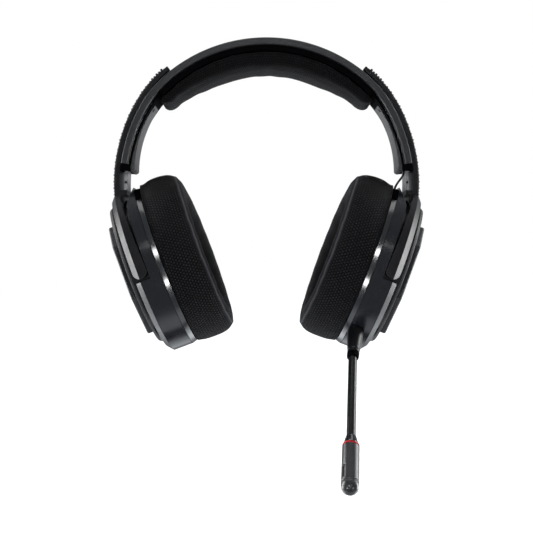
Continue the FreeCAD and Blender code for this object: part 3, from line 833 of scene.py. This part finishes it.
PAD_MIDDLE = 24.3           # thickness in the middle, and per millimetre towards the rear
PAD_LEAN = 0.034
PAD_TOP_LESS = 1.6          # how much thinner the pad is at its top, and thicker at its bottom
PAD_LOW_MORE = 0.4
PAD_RINGS = 90
PAD_FOOT = 0.25             # gap to the cup
PAD_HELD = 1.4              # height above the cup up to which it can't swell
PUFF = 0.3                  # how far the wall swells between these two heights above the cup
PUFF_ENDS = (1.0, 20.0)
PUFF_INSET = 8
CREST_AT = 25.4             # length along the outline, from the cup, to the crest between side and rim
CREST_HIGH = 0.35
PUCKERS = ((0.07, 46), (0.05, 71))   # how high the crest's puckers are, and how many go round
SEAM_BACK = 3.5             # length along the outline from the inner wall's rim back to the inner seam
SEAM_DEEP = 0.5
SEAM_WIDE = 0.9
KNIT_END_Z = (34.0, 44.0)   # heights up the cup between which the open knit fades out


def pad_wedge(local):
    """Makes the straight pad thinner at the front than at the rear, and shapes its two ends."""
    local = np.array(local, float)
    ends = np.clip((np.abs(local[..., 2]) - 26.0) / 24.0, 0, 1) ** 2
    more = ends * np.where(local[..., 2] > 0, -PAD_TOP_LESS, PAD_LOW_MORE)
    local[..., 0] *= (PAD_MIDDLE + PAD_LEAN * local[..., 1] + more) / PAD_THICK
    return local


def ear_pads():
    """Knit ear pads, blown up as cloth round the oval: a soft crest where side meets rim, with a painted
    highlight on it.
    """
    def section(steps, longest):
        corners = [(0, 0.3), (0, PAD_THICK), (PAD_WALL, PAD_THICK), (PAD_WALL, 0.3)]
        outline = rounded(corners, [0.8, 6.4, 5.6, 0.8], steps)
        return divided(outline, run_counts(outline, longest))

    outline = section(8, 0.8)
    lengths, whole = outline_lengths(outline)
    m = len(outline)
    count = int(OVAL_LENGTH / 0.9)
    places = np.arange(count) * OVAL_LENGTH / count
    grid = to_world(pad_wedge([oval_ring(s, outline) for s in places]))
    coarse = section(3, 3.0)
    starts = pad_wedge([oval_ring(OVAL_LENGTH * k / PAD_RINGS, coarse, 1.1) for k in range(PAD_RINGS)])
    offset = cloth_offsets(grid, True, to_world(starts), 6, 3.0, lambda p: from_world(p)[:, 0] < 2.6)
    inset, x = outline.T[:, None, :]
    wave = places[:, None] * 2 * pi / OVAL_LENGTH
    low, high = PUFF_ENDS
    puff = PUFF * np.sin(np.clip((x - low) / (high - low), 0, 1) * pi) * (inset < PUFF_INSET)
    pucker = sum(deep * np.sin(wave * times) for deep, times in PUCKERS)
    crest = np.exp(-((lengths - CREST_AT) / SEAM_WIDE) ** 2)
    seam = -SEAM_DEEP * np.exp(-((lengths - (whole - PAD_WALL - SEAM_BACK)) / SEAM_WIDE) ** 2)
    offset = offset + puff + (CREST_HIGH + pucker) * crest + seam
    offset = np.where(x < PAD_HELD, np.minimum(offset, 0.0) * np.clip(x / PAD_HELD, 0, 1), offset)
    local = from_world(grid + grid_normals(grid, True) * offset[..., None])
    local[..., 0] = np.maximum(local[..., 0], PAD_FOOT)
    repeat = KNIT_PITCH * round(OVAL_LENGTH / KNIT_PITCH)
    across = 2 * KNIT_ROW * round(whole / (2 * KNIT_ROW))
    full = np.append(lengths, whole) * across / whole
    wall = np.clip((CREST_AT - 0.8 - lengths) / 2.5, 0, 1) * np.clip((lengths - 0.5) / 1.0, 0, 1)
    height = np.array([oval_points(s, 0.0)[1] for s in places])[:, None]
    wall = wall * np.clip((KNIT_END_Z[1] - height) / (KNIT_END_Z[1] - KNIT_END_Z[0]), 0, 1)
    # Painted highlight: a pale line along the crest, which the pad's material reads as its crest attribute.
    painted_crest_highlight = np.tile(np.exp(-((lengths - CREST_AT) / 0.8) ** 2), (count, 1))

    def cloth_at(row, column):
        return row * repeat / count, full[column]

    for side in SIDES:
        obj = cup_piece(f"pad_{side}", side, *lofted(local, True))
        cloth_attributes(obj, count, m, True, cloth_at, open_knit=wall, crest=painted_crest_highlight)
        declare(obj, f"ear_pad_{side}", f"cup_{side}", "pad_fabric")


def cushion_outline(degrees):
    """The cushion's (y, depth) outline at an angle: full in the middle and thinner towards its ends."""
    start, end = CUSHION_THINS
    share = eased(min(1.0, max(0.0, (abs(degrees) - start) / (end - start))))
    y = half_width(degrees) - CUSHION_MARGIN - CUSHION_NARROWS * share
    low = CUSHION_LOW[0] + (CUSHION_LOW[1] - CUSHION_LOW[0]) * share
    from_end = np.clip((CUSHION_END - abs(degrees)) * PER_DEGREE / CUSHION_NOSE, 0.0, 1.0)
    low = CUSHION_TIP + (low - CUSHION_TIP) * sqrt(1 - (1 - from_end) ** 2)
    thick = low - CUSHION_TOP
    corners = [(-y, CUSHION_TOP), (y, CUSHION_TOP), (y, low - 0.4), (0, low), (-y, low - 0.4)]
    upper, lower = min(0.7, 0.2 * thick), min(4.4, 0.5 * thick)
    return rounded(corners, [upper, upper, lower, 0, lower], 6)


def cushion_rings(step, edge, longest, shrink=0.0):
    """Rings of evenly spread points along the cushion, and each ring's length along the band."""
    reach = CUSHION_END * PER_DEGREE - shrink
    count = int(outline_lengths(cushion_outline(0.0))[1] / longest)
    rings, places = [], []
    for place, less in stations(-reach, reach, step, edge, 6):
        degrees = place / PER_DEGREE
        ring = shrunk(cushion_outline(degrees), less + shrink)
        lengths, whole = outline_lengths(ring)
        closed = np.vstack([ring, ring[:1]])
        targets = np.linspace(0, whole, count, endpoint=False)
        even = np.column_stack([np.interp(targets, np.append(lengths, whole), closed[:, i]) for i in (0, 1)])
        rings.append(arch_ring(degrees, even))
        places.append(place)
    return np.array(rings), np.array(places), count


def headband_pad():
    """Fabric cushion under the top of the headband, blown up as cloth."""
    grid, places, count = cushion_rings(0.9, 0.5, 0.9)
    flat = np.zeros(grid.shape[:2])
    along = places[:, None]
    offset = cloth_offsets(grid, False, cushion_rings(3.5, 0.3, 3.0, 0.6)[0], 5, 3.5)
    offset = offset * np.clip((places.max() - np.abs(along)) / CUSHION_NOSE - 0.3, 0, 1)
    offset = offset + 0.12 * np.sin(along * 0.31 + np.sin(along * 0.11) * 2.0)
    shaped = grid + grid_normals(grid, False) * offset[..., None]
    shaped[0], shaped[-1] = grid[0], grid[-1]
    obj = new_piece("headband_pad", *lofted(shaped))
    apart = outline_lengths(cushion_outline(0.0))[1] / count
    cloth_attributes(obj, len(places), count, False, lambda row, column: (places[row], column * apart),
                     open_knit=flat + 0.7, crest=flat)
    declare(obj, "headband_cushion", "headband", "cushion_fabric")


# ---- headband

def channel(degrees):
    """The shell's (y, depth) outline, open below."""
    y = half_width(degrees)
    half = [(y, 0), (y, 4.0), (y - 3, 4.0), (y - 3, 1.6)]
    corners = [(-y, 0)] + half + [(-a, depth) for a, depth in reversed(half[1:])]
    return rounded(corners, [0.9, 0.9, 0.7, 0.4, 0.3, 0.3, 0.4, 0.7], 3)


def lining(degrees):
    """A lining strip's (y, depth) outline, which grows wider and thicker towards its rounded lower end."""
    start, end = LINING_ENDS
    share = (1 - cos(radians(degrees - start))) / (1 - cos(radians(end - start)))
    y = LINING_HALF + LINING_WIDENS * (degrees - start) / (end - start)
    thick = LINING_THICK[0] + (LINING_THICK[1] - LINING_THICK[0]) * share
    from_end = min(1.0, (end - degrees) * PER_DEGREE / LINING_NOSE)
    low = LINING_DEPTH + 0.5 + (thick - 0.5) * sqrt(1 - (1 - from_end) ** 2)
    corners = [(-y, LINING_DEPTH), (y, LINING_DEPTH), (y, low - 0.2), (0, low), (-y, low - 0.2)]
    return rounded(corners, [0.1, 0.1, 0.3, 0, 0.3], 4)


def lining_cloth(points):
    """Cloth coordinates on the headband's curve: length round the arc, and Y."""
    turn = np.arctan2(points[:, 0], points[:, 2] - SIDE_CENTRE_Z)
    return np.column_stack([turn * SIDE_R, points[:, 1], 0 * turn])


def headband():
    """Shell, linings and the CAD pieces that show round them."""
    shell = flat_shading(new_piece("shell", *arch_piece(-SHELL_END, SHELL_END, channel, edge=0.25, step=1.0)))
    declare(shell, "headband_shell", "headband", "shell_plastic")
    for side in SIDES:
        points, faces = arch_piece(*LINING_ENDS, lining, edge=0.15, step=0.3, longest=2.0)
        obj = new_piece(f"lining_{side}", on_side(points, side), faces)
        cloth_on_points(obj, lining_cloth)
        declare(obj, f"lining_strip_{side}", "headband", "soft_lining")
        refine((("end_guide", "guide", 0.3, "frame_plastic"),), "headband", side)
    refine((
        ("inner_frame", "frame_band", 0.3, "frame_plastic"),
        ("spring_band", "spring", 0.15, "steel"),
        ("lining_screws", "lining_screw_pair", 0.12, "dark_steel"),
    ), "headband")


# ---- arms

BLADE_OUT = SIDE_R + 0.3 + 2.2
GRIP_FACE = BLADE_OUT + 1.1
GRIP_ENDS = (42.0, 97.4)
DOT_ENDS = (43.2, 96.6)
DOT_PITCH = 2.2
DOT_ROW = DOT_PITCH * 0.87
DOT_R = 0.78
DOT_HIGH = 0.62
DOT_LEVELS = ((1.0, -0.35), (1.0, 0.0), (0.86, 0.5), (0.5, 0.87))   # share of the radius, and of the height


def dot(centre, normal):
    """A small closed bump on the grip, sunk a little into it."""
    across = np.array([0.0, 1.0, 0.0])
    out = directions(across, np.cross(normal, across), 10)
    rings = [centre + normal * up * DOT_HIGH + DOT_R * share * out for share, up in DOT_LEVELS]
    points, faces = lofted(rings)
    top, last = len(points), len(points) - len(out)
    faces = faces[:-1] + [(last + k, last + (k + 1) % len(out), top) for k in range(len(out))]
    return np.vstack([points, centre + normal * DOT_HIGH]), faces


def grip_outline(degrees):
    """The grip cover's (y, depth) outline."""
    y = half_width(degrees) - 2.2
    top, bottom = SIDE_R - GRIP_FACE, SIDE_R - BLADE_OUT
    return rounded([(-y, top), (y, top), (y, bottom), (-y, bottom)], [0.35, 0.35, 0.1, 0.1], 3)


def grip():
    """Rubber cover on the outside of each arm, with a staggered field of raised dots."""
    row_angle = DOT_ROW / (GRIP_FACE * pi / 180)
    parts = [arch_piece(*GRIP_ENDS, grip_outline, edge=0.2, step=1.0)]
    for row in range(int((DOT_ENDS[1] - DOT_ENDS[0]) / row_angle)):
        degrees = DOT_ENDS[0] + row * row_angle
        turn = radians(degrees)
        normal = np.array([-sin(turn), 0.0, cos(turn)])
        limit = half_width(degrees) - 3.2
        shift = 0.5 * DOT_PITCH if row % 2 else 0.0
        count = int((limit + shift) / DOT_PITCH)
        for y in DOT_PITCH * np.arange(-count - 1, count + 2) + shift:
            if abs(y) <= limit:
                parts.append(dot(normal * GRIP_FACE + np.array([0.0, y, SIDE_CENTRE_Z]), normal))
    points, faces = merged(parts)
    for side in SIDES:
        obj = new_piece(f"grip_{side}", on_side(points, side), faces)
        obj.data.set_sharp_from_angle(angle=radians(55))
        declare(obj, f"grip_cover_{side}", f"arm_{side}", "grip_rubber")


def arms():
    """Yokes, rails, screws and pins."""
    for side in SIDES:
        yoke = ("yoke", "yoke_arm", 0.5, "yoke_plastic")
        refine((yoke,), f"arm_{side}", side, segments=3)
        refine((
            ("slider_rail", "rail", 0.3, "rail_metal", "rail_plastic"),
            ("rail_screw", "stop_screw", 0.15, "dark_steel"),
            ("pivot_pins", "pins", 0.2, "steel"),
        ), f"arm_{side}", side)


# ---- cups

TRIM_END = 25.8             # length round the oval, from its top, at which the bright ring ends
TRIM_LOW = -3.15            # x of its foot
TRIM_IN = 3.4               # inset of its inner edge


def cups():
    """Hard pieces of both cups, and the cloth over the drivers."""
    inner = [(TRIM_IN, 0.0), (TRIM_IN, TRIM_LOW)]
    ring = rounded([(0.0, TRIM_LOW), (1.0, 0.0)] + inner, [0.35, 0.4, 0.2, 0.2], 3)
    recess = rounded([(1.6, TRIM_LOW), (2.2, 0.0)] + inner, 0.2, 2)
    sweeps = (("trim", None, oval_sweep(ring, TRIM_END, OVAL_LENGTH - TRIM_END, 1.2, 0.5)),
              ("trim_recess", "frame_plastic", oval_sweep(recess, -TRIM_END - 1.0, TRIM_END + 1.0, 1.2, 0.2)))
    scrim = oval_disc([(41, 1.7), (36, 1.6), (31, 1.4), (26, 1.15), (22, 0.95), (19, 0.8), (17.6, 0.6),
                       (17.6, 0.35), (19, 0.22), (28, 0.22), (41, 0.22)])
    for side in SIDES:
        body = f"cup_{side}"
        for name, material, made in sweeps:
            obj = flat_shading(cup_piece(f"{name}_{side}", side, *made))
            declare(obj, f"trim_ring_{side}", body, "trim_gloss", material)
        obj = cup_piece(f"scrim_{side}", side, *scrim)
        cloth_on_points(obj, lambda points: from_world(on_side(points, side))[:, [1, 2, 0]])
        declare(obj, f"ear_scrim_{side}", body, "scrim_cloth")
        refine((
            ("cup_housing", "housing", 0.5, "gloss_shell"),
            ("lower_ridge", "ridge", 0.5, "yoke_plastic"),
            ("back_cover", "cover", 0.4, "frame_plastic", "cover_plastic"),
            ("outer_plate", "plate", 0.25, "shell_plastic", "plate_plastic"),
            ("baffle", "baffle_plate", 0.2, "frame_plastic"),
            ("driver_frame", "basket", 0.2, "frame_plastic"),
            ("driver_magnet", "magnet", 0.3, "magnet_metal"),
            ("driver_diaphragm", "diaphragm", 0.0, "diaphragm_film"),
        ), body, side)
    refine((("battery", "cell", 0.6, "battery_foil"),), "cup_right")
    refine((
        ("circuit_board", "board", 0.1, "board", "circuit_board"),
        ("usb_port", "charging_socket", 0.12, "steel"),
        ("mic_socket", "boom_socket", 0.15, "steel"),
    ), "cup_left")


WHEEL_CENTRE = (-6.9, -4.0)   # x and z in the cup's axes
WHEEL_R = 10.0
WHEEL_PROUD = 1.2
WHEEL_BORE = 1.08
WHEEL_THICK = 2.6
WHEEL_RIBS = 48
RIB_DEPTH = 0.28


def controls():
    """Volume wheel and buttons on the rear of the left cup."""
    x, z = WHEEL_CENTRE
    rear = HALF_DEPTH - SIDE_ARC_R + sqrt(SIDE_ARC_R ** 2 - z ** 2)
    centre = np.array([x, rear + WHEEL_PROUD - WHEEL_R, z])
    rings = []
    for turn in np.linspace(0, 2 * pi, 6 * WHEEL_RIBS, endpoint=False):
        rib = WHEEL_R - RIB_DEPTH * (0.5 - 0.5 * cos(turn * WHEEL_RIBS))
        corners = [(WHEEL_BORE, 0.0), (rib, 0.0), (rib, WHEEL_THICK), (WHEEL_BORE, WHEEL_THICK)]
        r, across = rounded(corners, [0.05, 0.4, 0.4, 0.05], 3).T
        rings.append(np.column_stack([across, r * cos(turn), r * sin(turn)]) + centre)
    obj = cup_piece("wheel", "left", *lofted(rings, True))
    obj.data.set_sharp_from_angle(angle=radians(50))
    declare(obj, "volume_wheel", "volume_control", "grip_rubber")
    for name in ("mute", "power"):
        button = (f"{name}_button", f"{name}_key", 0.35, "button_plastic")
        refine((button,), f"{name}_control")


# ---- microphone

MIC_START = np.array([-7.1, -24.0, -39.2])
MIC_AXIS = unit([-0.11, -0.71, -0.695])
STEM_AXIS = unit([-0.185, -0.682, -0.706])
KNEE = MIC_START + MIC_AXIS * 20.6 + STEM_AXIS * 0.25
STEM_END = 52.3
FERRULE_END = 57.0
RED_RING_END = 58.7
CAPSULE_END = 82.1
CAPSULE_TOP_R = 4.6         # the capsule's radius at the red ring, and at its other end
CAPSULE_R = 4.75
SLOT_TURN = -1.1            # where the capsule's slot lies round its axis
SLOT_MIDDLE = 74.8          # and along it
SLOT_HALF = 2.6
SLOT_R = 1.15
SLOT_DEPTH = 0.9
SLOT_EDGE = 0.35


def microphone():
    """The boom microphone's pieces, turned about its two axes."""
    def add(name, made, slot, sharp=40):
        obj = flat_shading(cup_piece(f"boom_{name}", "left", *made), sharp)
        node = {"ring": "mic_red_ring"}.get(name, f"mic_{name}")
        declare(obj, node, "microphone", slot)

    plug = [(-9.5, 0.5), (-9.1, 1.15), (-8.2, 1.5), (-7.4, 1.15), (-7.0, 1.7), (-4.9, 1.7), (-4.8, 1.45),
            (-4.4, 1.45), (-4.3, 1.72), (-2.4, 1.72), (-2.3, 1.45), (-1.9, 1.45), (-1.8, 1.72), (0.6, 1.72)]
    add("plug", turned(plug, MIC_START, MIC_AXIS, 32), "steel", 30)
    boot = softened([(0.6, 2.6), (0.6, 4.7), (12.0, 3.85), (15.2, 3.55), (15.5, 3.25), (15.9, 3.25),
                     (16.2, 3.45), (17.0, 3.4), (17.0, 2.2)], 0.45)
    add("boot", turned(boot, MIC_START, MIC_AXIS, 56), "mic_plastic")
    collar = softened([(17.0, 2.2), (17.0, 3.5), (20.6, 3.35), (20.6, 2.0)], 0.5)
    add("collar", turned(collar, MIC_START, MIC_AXIS, 56), "frame_plastic")
    stem = [(s, 2.4 + 0.1 * s / STEM_END) for s in np.linspace(1.5, 51.0, 34)]
    stem = [(0.0, 2.4)] + stem + [(STEM_END, 2.5)]
    add("stem", turned(stem, KNEE, STEM_AXIS, 40), "boom_rubber", 60)
    ferrule = softened([(STEM_END, 1.8), (STEM_END, 2.8), (53.0, 2.95), (56.4, 3.9), (FERRULE_END, 4.0),
                        (FERRULE_END, 2.0)], 0.2)
    add("ferrule", turned(ferrule, KNEE, STEM_AXIS, 56), "ferrule_metal")
    red = softened([(FERRULE_END, 3.0), (57.3, 4.35), (57.6, 4.6), (58.4, 4.62), (58.4, 3.0)], 0.2)
    add("ring", turned(red, KNEE, STEM_AXIS, 64), "red_plastic")
    add("capsule", capsule_body(), "capsule_plastic", 50)
    element = softened([(66.9, 0.4), (66.9, 3.2), (71.0, 3.2), (71.0, 0.4)], 0.2)
    add("element", turned(element, KNEE, STEM_AXIS, 32), "steel")
    cap = [(CAPSULE_END, 3.0), (CAPSULE_END, CAPSULE_R)]
    cap += [(CAPSULE_END + CAPSULE_R * sin(t), CAPSULE_R * cos(t))
            for t in np.linspace(0.06, pi / 2 - 0.04, 14)]
    add("cap", turned(cap, KNEE, STEM_AXIS, 64), "cap_gloss", 60)


def capsule_body():
    """The capsule's sleeve, with a long sound slot on each side and a fine step near its end."""
    taper = (CAPSULE_R - CAPSULE_TOP_R) / (CAPSULE_END - RED_RING_END)
    outer = [(58.4, 4.3), (58.65, 4.58)]
    outer += [(s, CAPSULE_TOP_R + taper * (s - RED_RING_END)) for s in np.arange(59.0, 79.6, 0.4)]
    outer += [(79.8, 4.73), (79.95, 4.57), (80.25, 4.57), (80.4, 4.73), (81.7, CAPSULE_R), (CAPSULE_END, 4.6)]
    out = round_axis(STEM_AXIS, 96)
    turn = np.linspace(0, pi * 2, len(out), endpoint=False)
    off = np.abs((turn - SLOT_TURN + pi / 2) % pi - pi / 2)   # from the nearer slot's middle
    rings = []
    for along, r in outer:
        reach = np.hypot(off * r, max(0.0, abs(along - SLOT_MIDDLE) - SLOT_HALF))
        slot = SLOT_DEPTH * np.clip((SLOT_R - reach) / SLOT_EDGE, 0, 1)
        rings.append(KNEE + STEM_AXIS * along + (r - slot)[:, None] * out)
    return lofted(rings)


# ---- wire

WIRE_Y = -7.0
WIRE_R = 0.65
WIRE_ARC_R = SIDE_R - 4.95
WIRE_ANGLES = (62, 86)                  # where it runs along the rail, in degrees from the top
WIRE_INTO = (-1.6, WIRE_Y, 44.5)        # where it enters the cup, in the cup's axes
WIRE_STRAIGHT = 2.2                     # how long it keeps its direction where it leaves the rail
WIRE_ABOVE = np.array([0.4, 0.0, 5.5])  # from where it enters to what it comes down from


def wire():
    """Thin wire from the headband's channel to the top of the left cup.

    It runs along the rail and then bows over to the cup.
    """
    turns = np.radians(np.linspace(*WIRE_ANGLES, 30))
    arc = np.column_stack([-WIRE_ARC_R * np.sin(turns), WIRE_Y + 0 * turns,
                           SIDE_CENTRE_Z + WIRE_ARC_R * np.cos(turns)])
    leave, into = arc[-1], to_world(WIRE_INTO)
    below = leave - WIRE_STRAIGHT * np.array([cos(turns[-1]), 0.0, sin(turns[-1])])
    above = into + WIRE_ABOVE
    t = np.linspace(0.04, 1, 26)[:, None]
    bow = (1 - t) ** 3 * leave + 3 * t * (1 - t) ** 2 * below + 3 * t * t * (1 - t) * above + t ** 3 * into
    points, faces = tube(np.vstack([arc, bow]), WIRE_R, 14)
    obj = new_piece("link_lead", on_side(points, "left"), faces)
    obj.data.materials.append(MATERIALS["wire_rubber"])
    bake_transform(obj)
    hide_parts("link_wire")


# ---- studio

FLOOR_SIZE = (6000.0, 20.0)     # half its width, and its thickness
FLOOR_DROP = 80.0           # room below for the microphone when the arms are drawn out
AMBIENT = 0.3
TABLE_NEAR = 1.0            # brightness of what lies below, in front of the object
TABLE_FAR = 1.1             # and behind it
SIDE_PANEL = 2.6
CAMERA_PLACE = (0.0, -0.600, -0.1182)
CAMERA_LENS = 67.5
SENSOR = 36.0

# name, place, target, size, power, spread in degrees. A paired light also stands mirrored, on the right.
PAIRED_LIGHTS = (
    ("side", (-0.95, 0.24, -0.05), (0, 0, -0.12), (0.45, 1.1), 14.0, 180),
    ("high", (-0.247, -0.785, 0.279), (0.065, -0.041, -0.111), (0.12, 0.4), 0.04, 12),
    ("low", (-0.458, -0.756, -0.288), (0.06, -0.04, -0.129), (0.12, 0.4), 0.04, 12),
)
LIGHTS = (
    ("boom", (0.02, -0.9, -0.16), (0.052, -0.1, -0.24), (0.06, 0.06), 0.0016, 8),
    ("top", (0.0, 0.1, 0.9), (0, 0, -0.12), (0.9, 0.5), 3.0, 180),
)


def lamp(name, place, target, size, power, spread):
    """A rectangular light at a place, aimed at a target."""
    light = bpy.data.lights.new(name, "AREA")
    light.shape = "RECTANGLE"
    light.size, light.size_y = size
    light.energy = power
    light.spread = radians(spread)
    obj = linked(name, light)
    obj.location = place
    obj.rotation_euler = (Vector(target) - Vector(place)).to_track_quat("-Z", "Y").to_euler()


def studio():
    """Plain pale floor, soft light and the camera."""
    size, thick = FLOOR_SIZE
    low = cad_box[0][2] / MM - FLOOR_DROP
    corners = [(-size, -size), (size, -size), (size, size), (-size, size)]
    rings = [[(x, y, z) for x, y in corners] for z in (low - thick, low)]
    floor = new_piece("floor", *lofted(rings), smooth=False)
    floor.data.materials.append(MATERIALS["floor_paint"])
    floor.visible_glossy = False
    floor.visible_diffuse = False
    floor.visible_shadow = False

    world = bpy.data.worlds.new("studio")
    world.use_nodes = True
    bpy.context.scene.world = world
    bpy.context.scene.view_settings.view_transform = "Standard"
    surroundings(Nodes(world.node_tree))
    for name, place, target, *rest in PAIRED_LIGHTS:
        lamp(f"{name}_left", place, target, *rest)
        lamp(f"{name}_right", (-place[0], *place[1:]), (-target[0], *target[1:]), *rest)
    for row in LIGHTS:
        lamp(*row)

    lens = bpy.data.cameras.new("camera")
    lens.sensor_width = SENSOR
    lens.lens = CAMERA_LENS
    lens.clip_start = 0.01
    camera = linked("camera", lens)
    camera.location = CAMERA_PLACE
    camera.rotation_euler = (pi / 2, 0, 0)
    bpy.context.scene.camera = camera


def surroundings(n):
    """White to the camera. To the object: dim, with side panels and a pale table that has a dark gap."""
    direction = n.add("ShaderNodeTexCoord").outputs["Generated"]
    split = n.add("ShaderNodeSeparateXYZ", {0: direction}).outputs
    below = n.span(split[2], -0.5, -0.65)
    near = n.times(n.span(split[1], -0.5, -0.3), n.span(split[1], 0.02, -0.02))
    far = n.span(split[1], 0.34, 0.38)
    gap = n.times(n.span(split[1], -0.02, 0.02), n.span(split[1], 0.38, 0.34))
    table = n.plus(n.times(near, TABLE_NEAR), n.times(far, TABLE_FAR))
    table = n.minus(table, n.times(gap, AMBIENT))
    across = n.math("ABSOLUTE", split[0])
    panel = n.times(n.span(across, 0.38, 0.5), n.span(split[1], 0.12, 0.25))
    panel = n.times(panel, n.span(split[2], 0.0, -0.2))
    bright = n.plus(n.times(table, below), n.times(panel, SIDE_PANEL))
    strength = n.math("MAXIMUM", n.plus(bright, AMBIENT), 0.0)
    tint = {"Color": (0.92, 0.96, 1.0, 1.0), "Strength": strength}
    soft = n.add("ShaderNodeBackground", tint)
    plain = n.add("ShaderNodeBackground", {"Color": (1.0, 1.0, 1.0, 1.0), "Strength": 1.0})
    to_camera = n.add("ShaderNodeLightPath").outputs["Is Camera Ray"]
    both = n.add("ShaderNodeMixShader", {0: to_camera, 1: soft.outputs[0], 2: plain.outputs[0]})
    n.add("ShaderNodeOutputWorld", {"Surface": both.outputs[0]})


def floor_paint():
    """Pale studio floor, which glows a little so that it stays near white."""
    m = Tree("floor_paint", (0.8, 0.8, 0.8), 0.8, specular=0.1)
    m.set("Emission Color", (1.0, 1.0, 1.0, 1.0))
    m.set("Emission Strength", 0.95)
    m.set("Normal", m.bump(m.noise(1.5), 0.02))


def make_materials():
    """Every material, under its slot's name or one of its own."""
    moulded("shell_plastic", (0.024, 0.025, 0.027), 0.48)
    moulded("plate_plastic", (0.018, 0.019, 0.021), 0.5)
    # frame_plastic is near black with almost no gloss: black plastic, darkened past its own colour as painted
    # shade for the gaps where frame, guides, trim recess and baffle show.
    moulded("frame_plastic", (0.0015, 0.0015, 0.002), 0.9, specular=0.03)
    moulded("cover_plastic", (0.011, 0.011, 0.012), 0.55, specular=0.3)
    moulded("yoke_plastic", (0.008, 0.008, 0.009), 0.36, grain=0.3, specular=0.3)
    rubbery("grip_rubber", (0.035, 0.035, 0.037), 0.6)
    moulded("rail_plastic", (0.3, 0.3, 0.305), 0.4, grain=0.2)
    metallic("dark_steel", (0.05, 0.05, 0.055), 0.4)
    metallic("steel", (0.55, 0.55, 0.56), 0.3)
    glossy("gloss_shell", (0.006, 0.007, 0.010), 0.22, coat_rough=0.18)
    glossy("trim_gloss", (0.012, 0.013, 0.016), 0.2, coat=0.9, coat_rough=0.14)
    leatherette("soft_lining", (0.045, 0.0455, 0.047), 0.6)
    mesh_knit("cushion_fabric", (0.005, 0.005, 0.0055), (0.016, 0.016, 0.018))
    mesh_knit("pad_fabric", (0.0065, 0.0065, 0.0072), (0.03, 0.03, 0.034))
    woven("scrim_cloth", (0.008, 0.008, 0.009), (0.02, 0.02, 0.021), size=1.1, depth=0.12)
    metallic("magnet_metal", (0.4, 0.4, 0.42), 0.45)
    glossy("diaphragm_film", (0.25, 0.24, 0.22), 0.3, coat=0.2)
    metallic("battery_foil", (0.6, 0.61, 0.63), 0.38, size=0.5)
    glossy("circuit_board", (0.01, 0.06, 0.03), 0.4, coat=0.3)
    rubbery("wire_rubber", (0.003, 0.003, 0.0035), 0.5, depth=0.01)
    moulded("mic_plastic", (0.004, 0.004, 0.005), 0.36, specular=0.25)
    rubbery("boom_rubber", (0.001, 0.001, 0.0012), 0.3, depth=0.004)
    metallic("ferrule_metal", (0.10, 0.10, 0.103), 0.16)
    moulded("red_plastic", (0.42, 0.010, 0.014), 0.4, mottle=0.06, specular=0.2)
    moulded("capsule_plastic", (0.020, 0.020, 0.022), 0.36, grain=0.25, depth=0.006)
    glossy("cap_gloss", (0.012, 0.012, 0.013), 0.3, coat=0.5)
    moulded("button_plastic", (0.03, 0.03, 0.033), 0.4)
    floor_paint()


def main():
    """Builds every piece."""
    for build in (make_materials, studio, wire, headband, headband_pad, arms, grip, cups, ear_pads, controls,
                  microphone):
        build()


main()
